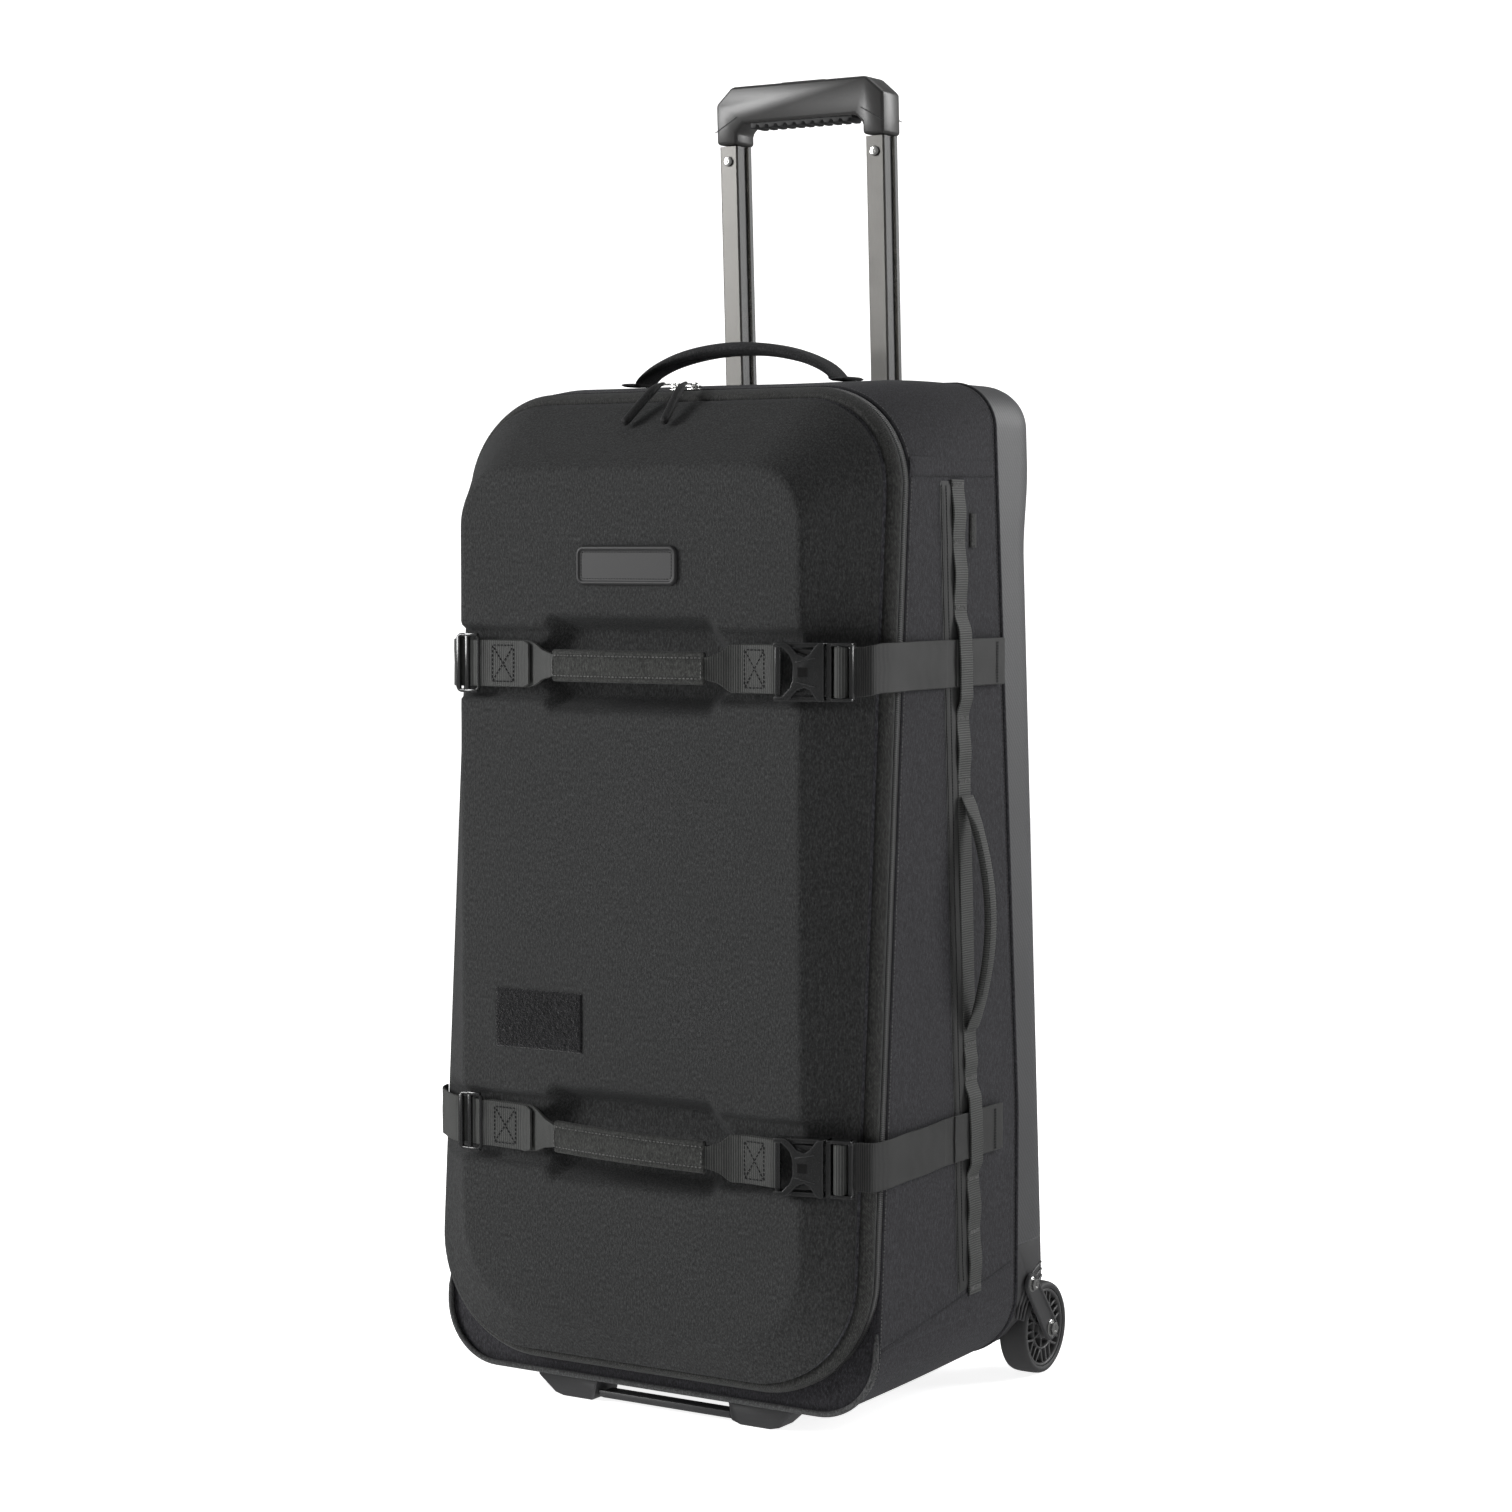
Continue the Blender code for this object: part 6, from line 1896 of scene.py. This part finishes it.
    bm, s_ = sweep_section(spath, up, sleeve)
    ob = finish_obj(f"padded_sleeve_{level}", bm, M["pad"], "lid",
                    replaces=(f"grip_sleeve_{level}",))
    lines = []
    for off in (-8.0, 8.0):
        lines.append([(spath[i] + Vector((0, -2.3, off)), (0, -1, 0))
                      for i in range(2, ns - 2)])
    for xx in (0.03, 0.97):
        i = int(xx * (ns - 1))
        c = spath[i]
        lines.append([((c.x, c.y - 4.2, c.z - 8), (0, -1, 0)), ((c.x, c.y - 4.2, c.z + 8),
                                                                (0, -1, 0))])
    stitches(f"sleeve_stitches_{level}", lines, "lid", pitch=3.4, length=2.3, r=0.5)

    # ladder lock: round-cornered wire frame, two cross bars with hooked ends
    def rrect(x0, x1, z0, z1, r, y, n=6):
        pts_ = []
        for cx, cz, a0 in ((x1 - r, z0 + r, -90), (x1 - r, z1 - r, 0), (x0 + r, z1 - r, 90),
                           (x0 + r, z0 + r, 180)):
            for k in range(n + 1):
                a = math.radians(a0 + 90 * k / n)
                pts_.append(Vector((cx + r * math.cos(a), y, cz + r * math.sin(a))))
        return pts_

    zl = Z(-151)
    tube(f"lock_frame_{level}", M["buckle"], "lid",
         rrect(-161.5, -140.5, zl - 22.4, zl + 22.4, 4.0, -2.4), 1.55, seg=10, cyclic=True,
         replaces=(f"ladder_lock_{level}",))
    bm = bmesh.new()
    box_into(bm, -153.0, -149.6, -4.4, -0.9, zl - 22.4, zl + 22.4)
    box_into(bm, -161.8, -158.4, -4.2, -1.0, zl - 21.4, zl + 21.4)
    for zz in (zl - 22.6, zl + 22.6):
        box_into(bm, -153.5, -141.0, -4.5, -0.8, zz - 1.3, zz + 1.3)
    bevelled(f"lock_bars_{level}", bm, M["buckle"], "lid", width=0.7)

    # ---- side release buckle
    zb = Z(165) if level == "lower" else zc0 - 1.5
    fb = BUCKLE @ Matrix.Translation((0, 0, zb))
    bm = bmesh.new()
    # front plate: an X with horns at all four corners; its square window is not cut but painted as
    # shade below
    outer = [(0.5, 22.3), (9.0, 22.3), (13.0, 20.0), (19.0, 13.8), (24.5, 11.6), (29.0, 13.8),
             (33.0, 19.5), (36.0, 22.3), (40.0, 22.3), (40.0, -22.3), (36.0, -22.3),
             (33.0, -19.5), (29.0, -13.8), (24.5, -11.6), (19.0, -13.8), (13.0, -20.0),
             (9.0, -22.3), (0.5, -22.3), (0.5, -19.0), (7.5, -18.4), (13.0, -12.5), (15.5, -6.0),
             (15.5, 6.0), (13.0, 12.5), (7.5, 18.4), (0.5, 19.0)]
    poly_plate(bm, outer, fb, -9.9, -6.6)
    # side rails, cross bar at the webbing end, and the throat's back rails
    box_into(bm, 0.5, 40.0, -6.7, 3.4, 18.8, 22.3, fb)
    box_into(bm, 0.5, 40.0, -6.7, 3.4, -22.3, -18.8, fb)
    box_into(bm, 0.5, 4.6, -6.6, -2.6, -19.0, 19.0, fb)
    box_into(bm, 36.5, 40.0, -6.7, -5.9, -19.0, 19.0, fb)
    ob = bevelled(f"buckle_socket_{level}", bm, M["buckle"], "lid", width=0.8,
                  seg=2, replaces=(f"buckle_female_{level}",))
    # painted shade: a thin dark plate on the face stands for the shade in the sunk square in the
    # middle of the X; then the ridges beside it
    bm = bmesh.new()
    box_into(bm, 19.5, 27.0, -10.15, -9.7, -3.6, 3.6, fb)
    finish_obj(f"buckle_window_shade_{level}", bm, M["bar_side"], "lid",
               smooth_shade=False)
    bm = bmesh.new()
    for w in (-7.5, 7.5):
        poly_plate(bm, [(17.5, w - 0.5), (33.5, w * 1.45 - 0.5), (33.5, w * 1.45 + 0.5),
                        (17.5, w + 0.5)], fb, -10.35, -9.8)
    bevelled(f"buckle_ridges_{level}", bm, M["buckle"], "lid", width=0.25,
             seg=1)
    # male half: ladder end and prongs
    bm = bmesh.new()
    for w in (-22.3, 19.6):
        box_into(bm, 41.2, 61.8, -7.6, 3.6, w, w + 2.7, fb)
    box_into(bm, 41.2, 45.4, -7.8, 3.6, -22.3, 22.3, fb)
    box_into(bm, 50.0, 53.4, -7.2, 0.5, -20.5, 20.5, fb)
    box_into(bm, 58.6, 61.8, -5.8, 2.0, -22.3, 22.3, fb)
    poly_plate(bm, [(41.5, 11.2), (30.0, 11.2), (14.0, 15.8), (12.4, 16.6), (14.0, 17.4),
                    (30.0, 17.2), (41.5, 17.2)], fb, -5.4, 1.4)
    poly_plate(bm, [(41.5, -17.2), (30.0, -17.2), (14.0, -17.4), (12.4, -16.6), (14.0, -15.8),
                    (30.0, -11.2), (41.5, -11.2)], fb, -5.4, 1.4)
    poly_plate(bm, [(41.5, -3.5), (41.5, 3.5), (18.0, 3.5), (16.2, 1.8), (16.2, -1.8),
                    (18.0, -3.5)], fb, -5.4, 1.4)
    bevelled(f"buckle_plug_{level}", bm, M["buckle"], "case", width=0.8, seg=2,
             replaces=(f"buckle_male_{level}",))

    # webbing threaded through the ladder end: loop over the middle bar
    q = bpt(52, 0.0, 0)
    wz = zb
    pA = [bpt(47.4, 2.6, wz), bpt(47.6, -5.0, wz), bpt(49.4, -8.2, wz), bpt(52.5, -8.5, wz),
          bpt(55.2, -7.0, wz), bpt(56.4, -2.0, wz), bpt(57.6, 3.0, wz), bpt(60.5, 5.3, wz)]
    ribbon(f"ladder_loop_{level}", M["web"], "case", web_path(pA, 1.2), up, 38.6, 1.5)
    q = bpt(60.0, 5.6, 0)
    zs_ = zc0 + (1.0 if level == "upper" else -4.5)
    zr = zc0 + (1.0 if level == "upper" else -3.0)
    pB = [(q.x - 9, q.y - 2.3, wz), (q.x - 2, q.y - 0.2, wz), (q.x + 3, q.y + 4.5, wz),
          (209.6, 24, (wz + zs_) / 2), (211.2, 36, zs_), (211.6, 50, zs_), (210.4, 66, zs_),
          (209.0, 84, zs_), (208.5, 110, zs_), (208.3, 140, zr), (207.9, 150, zr),
          (207.7, 200, zr), (207.6, 238.5, zr)]
    ribbon(f"side_webbing_{level}", M["web_dark"], "case", web_path(pB, 3.0), up, WEB_W, 1.5,
           replaces=(f"side_strap_{level}_right",), wob=0.22, seed=7)
    # outer layer of the sewn end, behind the daisy strip
    pC = [(209.3, 158, zr + 0.4), (209.5, 190, zr + 0.4), (209.2, 222, zr + 0.2),
          (209.1, 236, zr), (208.6, 240.0, zr)]
    ribbon(f"side_webbing_end_{level}", M["web_dark"], "case", web_path(pC, 3.0), up,
           WEB_W - 0.4, 1.3, wob=0.15, seed=9)
    # path for a free layer in front, slightly fanned; nothing is built from it
    pD = [(212.6, 40, zs_ + 2.2), (212.4, 60, zs_ + 2.0), (210.9, 84, zs_ + 1.6),
          (210.2, 110, zs_ + 1.0), (209.9, 140, zr + 0.5), (209.5, 156, zr)]
    lines = []
    for yy in (224.0, 226.2):
        lines.append([((210.1, yy, zr - 17.5 + 35 * k / 10), (1, 0, 0)) for k in range(11)])
    stitches(f"side_end_stitches_{level}", lines, "case", M["thread_dark"], pitch=2.4,
             length=1.9, r=0.36)
    # left side webbing
    pL = [(-207.4, rim_y(zc0) + 13.5, zc0), (-207.7, 120, zc0), (-207.6, 180, zc0),
          (-207.4, 238, zc0)]
    ribbon(f"left_webbing_{level}", M["web_dark"], "case", web_path(pL, 4.0), up, WEB_W, 1.5,
           replaces=(f"side_strap_{level}_left",), wob=0.2, seed=11)
    lines = [[((-208.6, yy, zc0 - 17 + 34 * k / 10), (-1, 0, 0)) for k in range(11)]
             for yy in (230.0, 234.0)]
    stitches(f"left_end_stitches_{level}", lines, "case", M["thread_dark"], pitch=2.4,
             length=1.9, r=0.36)

# ---------------------------------------------------------------- badge and patch
def badge():
    """Blank rubber badge: rounded plate, raised border, sunk field."""
    bm = bmesh.new()
    x0, x1, z0, z1 = -45.0, 50.0, 668.0, 699.0

    def ring(inset, y, r):
        pts = []
        for cx, cz, a0 in ((x1 - r, z0 + r, -90), (x1 - r, z1 - r, 0), (x0 + r, z1 - r, 90),
                           (x0 + r, z0 + r, 180)):
            for k in range(13):
                a = math.radians(a0 + 90 * k / 12)
                rr = r - inset
                pts.append((cx + rr * math.cos(a), y, cz + rr * math.sin(a)))
        return pts

    R_ = 7.0
    prof = [(0.0, 0.4), (0.0, -0.9), (0.25, -1.9), (0.9, -2.7), (1.8, -3.1), (2.6, -3.05),
            (3.2, -2.6), (3.6, -2.1), (4.6, -2.0), (6.2, -2.0)]
    rows = [[bm.verts.new(p) for p in ring(i, y, R_)] for i, y in prof]
    n = len(rows[0])
    for r0, r1 in zip(rows, rows[1:]):
        for i in range(n):
            j = (i + 1) % n
            bm.faces.new((r0[i], r0[j], r1[j], r1[i]))
    bm.faces.new(rows[-1])
    finish_obj("blank_badge", bm, M["badge"], "lid", flip=(0, -1, 0), auto=50,
               replaces=("badge",))
    line = [(Vector(p) + Vector((0, -0.05, 0)), (0, -1, 0)) for p in ring(5.0, -2.0, R_)]
    line.append(line[0])
    stitches("badge_stitches", [line], "lid", M["thread_dark"], pitch=2.6,
             length=1.9, r=0.34)


badge()


def patch():
    """Loop pile patch: lumpy pile with short loops standing out, stitched edge."""
    x0, x1, z0, z1 = -126.5, -41.5, 295.5, 343.5
    bm = bmesh.new()
    uv = uv_layer(bm)
    nx, nz = 110, 64
    rows = []
    for k in range(nz + 1):
        z = lerp(z0, z1, k / nz)
        row = []
        for i in range(nx + 1):
            x = lerp(x0, x1, i / nx)
            e = min(x - x0, x1 - x, z - z0, z1 - z)
            r = 0.55 * fbm(x, 2, z, 1.3) + 0.5 * fbm(x, 7, z, 3.1)
            h = -0.7 - (0.9 + r) * smooth(clamp01(e / 2.6)) if e > 0.2 else 0.3
            row.append(bm.verts.new((x + 0.25 * fbm(x, 11, z, 2.0), h, z
                                     + 0.25 * fbm(x, 13, z, 2.0))))
        rows.append(row)
    for r0, r1 in zip(rows, rows[1:]):
        for i in range(nx):
            f = bm.faces.new((r0[i], r0[i + 1], r1[i + 1], r1[i]))
    finish_obj("loop_pile_patch", bm, M["pile"], "lid", flip=(0, -1, 0),
               replaces=("loop_patch",))
    rnd = random.Random(4)
    bm = bmesh.new()
    uv_layer(bm)
    for _ in range(1500):
        x, z = rnd.uniform(x0 + 2.5, x1 - 2.5), rnd.uniform(z0 + 2.5, z1 - 2.5)
        a = rnd.uniform(0, 2 * math.pi)
        l = rnd.uniform(0.5, 1.1)
        p = Vector((x, -1.5, z))
        q = p + Vector((math.cos(a) * l, -0.75, math.sin(a) * l))
        r = q + Vector((math.cos(a) * l, 0.6, math.sin(a) * l))
        add_capsule(bm, p, q, 0.14, Vector((0, -1, 0)), seg=3)
        add_capsule(bm, q, r, 0.14, Vector((0, -1, 0)), seg=3)
    finish_obj("loop_pile_fibres", bm, M["pile"], "lid", flip=False)
    c = [(x0 + 1.5, z0 + 1.5), (x1 - 1.5, z0 + 1.5), (x1 - 1.5, z1 - 1.5), (x0 + 1.5, z1 - 1.5)]
    lines = []
    for k in range(4):
        a, b = c[k], c[(k + 1) % 4]
        lines.append([((lerp(a[0], b[0], t / 8), -1.35, lerp(a[1], b[1], t / 8)), (0, -1, 0))
                      for t in range(9)])
    stitches("patch_stitches", lines, "lid", M["thread_dark"], pitch=2.6, length=2.0,
             r=0.3)


patch()

# ---------------------------------------------------------------- zipper sliders and pulls
for s, side in ((-1, "left"), (1, "right")):
    xc = s * 8.0
    y0 = rim_y(822)
    bm = bmesh.new()
    # slider: two plates joined by a neck, with a flared front
    top = [(-5.6, 0.9), (-3.8, 0.4), (3.8, 0.4), (5.6, 0.9), (4.6, 8.6), (2.6, 9.4), (-2.6, 9.4),
           (-4.6, 8.6)]
    fr = Matrix.Translation((xc, y0, 0)) @ Matrix.Rotation(math.radians(90), 4, "X")
    for za, zb_ in ((823.3, 824.7), (825.4, 827.0)):
        lo_ = [bm.verts.new((xc + u, y0 + v, za)) for u, v in top]
        hi_ = [bm.verts.new((xc + u, y0 + v, zb_)) for u, v in top]
        for i in range(len(top)):
            j = (i + 1) % len(top)
            bm.faces.new((lo_[i], lo_[j], hi_[j], hi_[i]))
        bm.faces.new(lo_)
        bm.faces.new(list(reversed(hi_)))
    box_into(bm, xc - 1.4, xc + 1.4, y0 + 1.4, y0 + 7.0, 824.5, 825.6)
    # bridge
    for yy in (-0.2, 4.6):
        box_into(bm, xc - 1.1, xc + 1.1, y0 + yy, y0 + yy + 1.6, 826.8, 829.2)
    box_into(bm, xc - 1.1, xc + 1.1, y0 - 0.2, y0 + 6.2, 828.3, 829.5)
    bevelled(f"zip_slider_{side}", bm, M["steel"], f"slider_{side}", width=0.4, seg=2,
             replaces=(f"zipper_slider_{side}",))
    # ring through the bridge, then the cord with its moulded end
    ring = []
    for k in range(28):
        a = 2 * math.pi * k / 28
        ca, sa = math.cos(a), math.sin(a)
        ring.append(Vector((xc + s * 2.4 + 3.4 * ca, y0 - 5.0 + 8.0 * sa, 828.0
                            - 1.0 * (1 - sa) * 0.5 + 0.5)))
    tube(f"zip_ring_{side}", M["steel"], f"pull_{side}", ring, 0.75, seg=8, cyclic=True)
    dx = -14.0 if s < 0 else 3.0
    px = xc + s * 2.4
    p0 = [(px + dx * q, y0 - 10.5 - 38.5 * q, z) for q, z in
          ((0.0, 828.3), (0.14, 826.8), (0.36, 820.5), (0.66, 809.0), (1.0, 795.5))]
    path = catmull([Vector(p) for p in p0], 8)
    tube(f"zip_cord_{side}", M["cord"], f"pull_{side}", path, 2.3, seg=14,
         replaces=(f"zipper_pull_{side}",),
         rf=lambda t: interp([0.9, 1.5, 1.7, 3.0, 3.6, 3.6, 3.2, 2.2],
                             [0.0, 0.08, 0.22, 0.36, 0.45, 0.93, 0.97, 1.0], t))

# ---------------------------------------------------------------- CAD nodes left visible
for n, o in NODES.items():
    pass

# ---------------------------------------------------------------- floor, light, camera
floor_bm = bmesh.new()
bmesh.ops.create_grid(floor_bm, x_segments=1, y_segments=1, size=6.0)
me = bpy.data.meshes.new("floor")
floor_bm.to_mesh(me)
floor_bm.free()
floor = bpy.data.objects.new("floor", me)
bpy.context.scene.collection.objects.link(floor)
fm, fnt, fb_ = mat_new("floor_white")
fb_.inputs["Base Color"].default_value = (0.93, 0.93, 0.93, 1)
fb_.inputs["Roughness"].default_value = 0.9
fb_.inputs["Specular IOR Level"].default_value = 0.1
fb_.inputs["Emission Color"].default_value = (1.0, 1.0, 1.0, 1)
fb_.inputs["Emission Strength"].default_value = 0.85
fn = noise_tex(fnt, coords(fnt), 3.0, 2.0)
link(fnt, math_node(fnt, "MULTIPLY_ADD", fn, 0.04, 0.86), fb_.inputs["Roughness"])
me.materials.append(fm)
floor.visible_glossy = False
bd = bpy.data.meshes.new("backdrop")
bd.from_pydata([(-14, 0, -3), (14, 0, -3), (14, 0, 9), (-14, 0, 9)], [], [(0, 1, 2, 3)])
backdrop = bpy.data.objects.new("backdrop", bd)
bpy.context.scene.collection.objects.link(backdrop)
backdrop.location = (-3.1, 5.0, 0)
backdrop.rotation_euler = (0, 0, math.radians(32))
backdrop.visible_diffuse = False
backdrop.visible_glossy = False
backdrop.visible_shadow = False
bmat, bnt, bb = mat_new("backdrop_white")
bb.inputs["Base Color"].default_value = (0.5, 0.5, 0.5, 1)
bb.inputs["Emission Color"].default_value = (1.0, 1.0, 1.0, 1)
bb.inputs["Emission Strength"].default_value = 0.9
link(bnt, math_node(bnt, "MULTIPLY_ADD", noise_tex(bnt, coords(bnt), 1.0, 1.0), 0.04, 0.9),
     bb.inputs["Roughness"])
bd.materials.append(bmat)


def area(name, loc, target, size, power, color=(1, 1, 1)):
    l = bpy.data.lights.new(name, "AREA")
    l.shape = "RECTANGLE"
    l.size, l.size_y = size
    l.energy = power
    l.color = color
    ob = bpy.data.objects.new(name, l)
    bpy.context.scene.collection.objects.link(ob)
    ob.location = loc
    ob.rotation_euler = (Vector(target) - Vector(loc)).to_track_quat("-Z", "Y").to_euler()
    return ob


LIGHTS = [
    area("key_front_left", (-3.0, -2.6, 1.75), (0, 0, 0.55), (1.6, 2.0), 165),
    area("rear_right", (2.3, 2.7, 1.9), (0.1, 0.1, 0.5), (1.4, 2.4), 100),
    area("top_rear", (0.2, 1.0, 3.2), (0, 0, 0.6), (2.2, 1.6), 18),
]
world = bpy.data.worlds.new("studio")
bpy.context.scene.world = world
world.use_nodes = True
bg = world.node_tree.nodes["Background"]
bg.inputs[0].default_value = (1.0, 1.0, 1.0, 1)
bg.inputs[1].default_value = 0.20

cam_d = bpy.data.cameras.new("camera")
cam = bpy.data.objects.new("camera", cam_d)
bpy.context.scene.collection.objects.link(cam)
cam_d.lens = 78.571
cam_d.sensor_width = 36.0
cam.location = ((1456.1 + SX) * MM, (-2136.3 + SY) * MM, 0.694)
cam.rotation_euler = (math.radians(86.463), 0, math.radians(32))
bpy.context.scene.camera = cam
bpy.context.scene.view_settings.view_transform = "Standard"
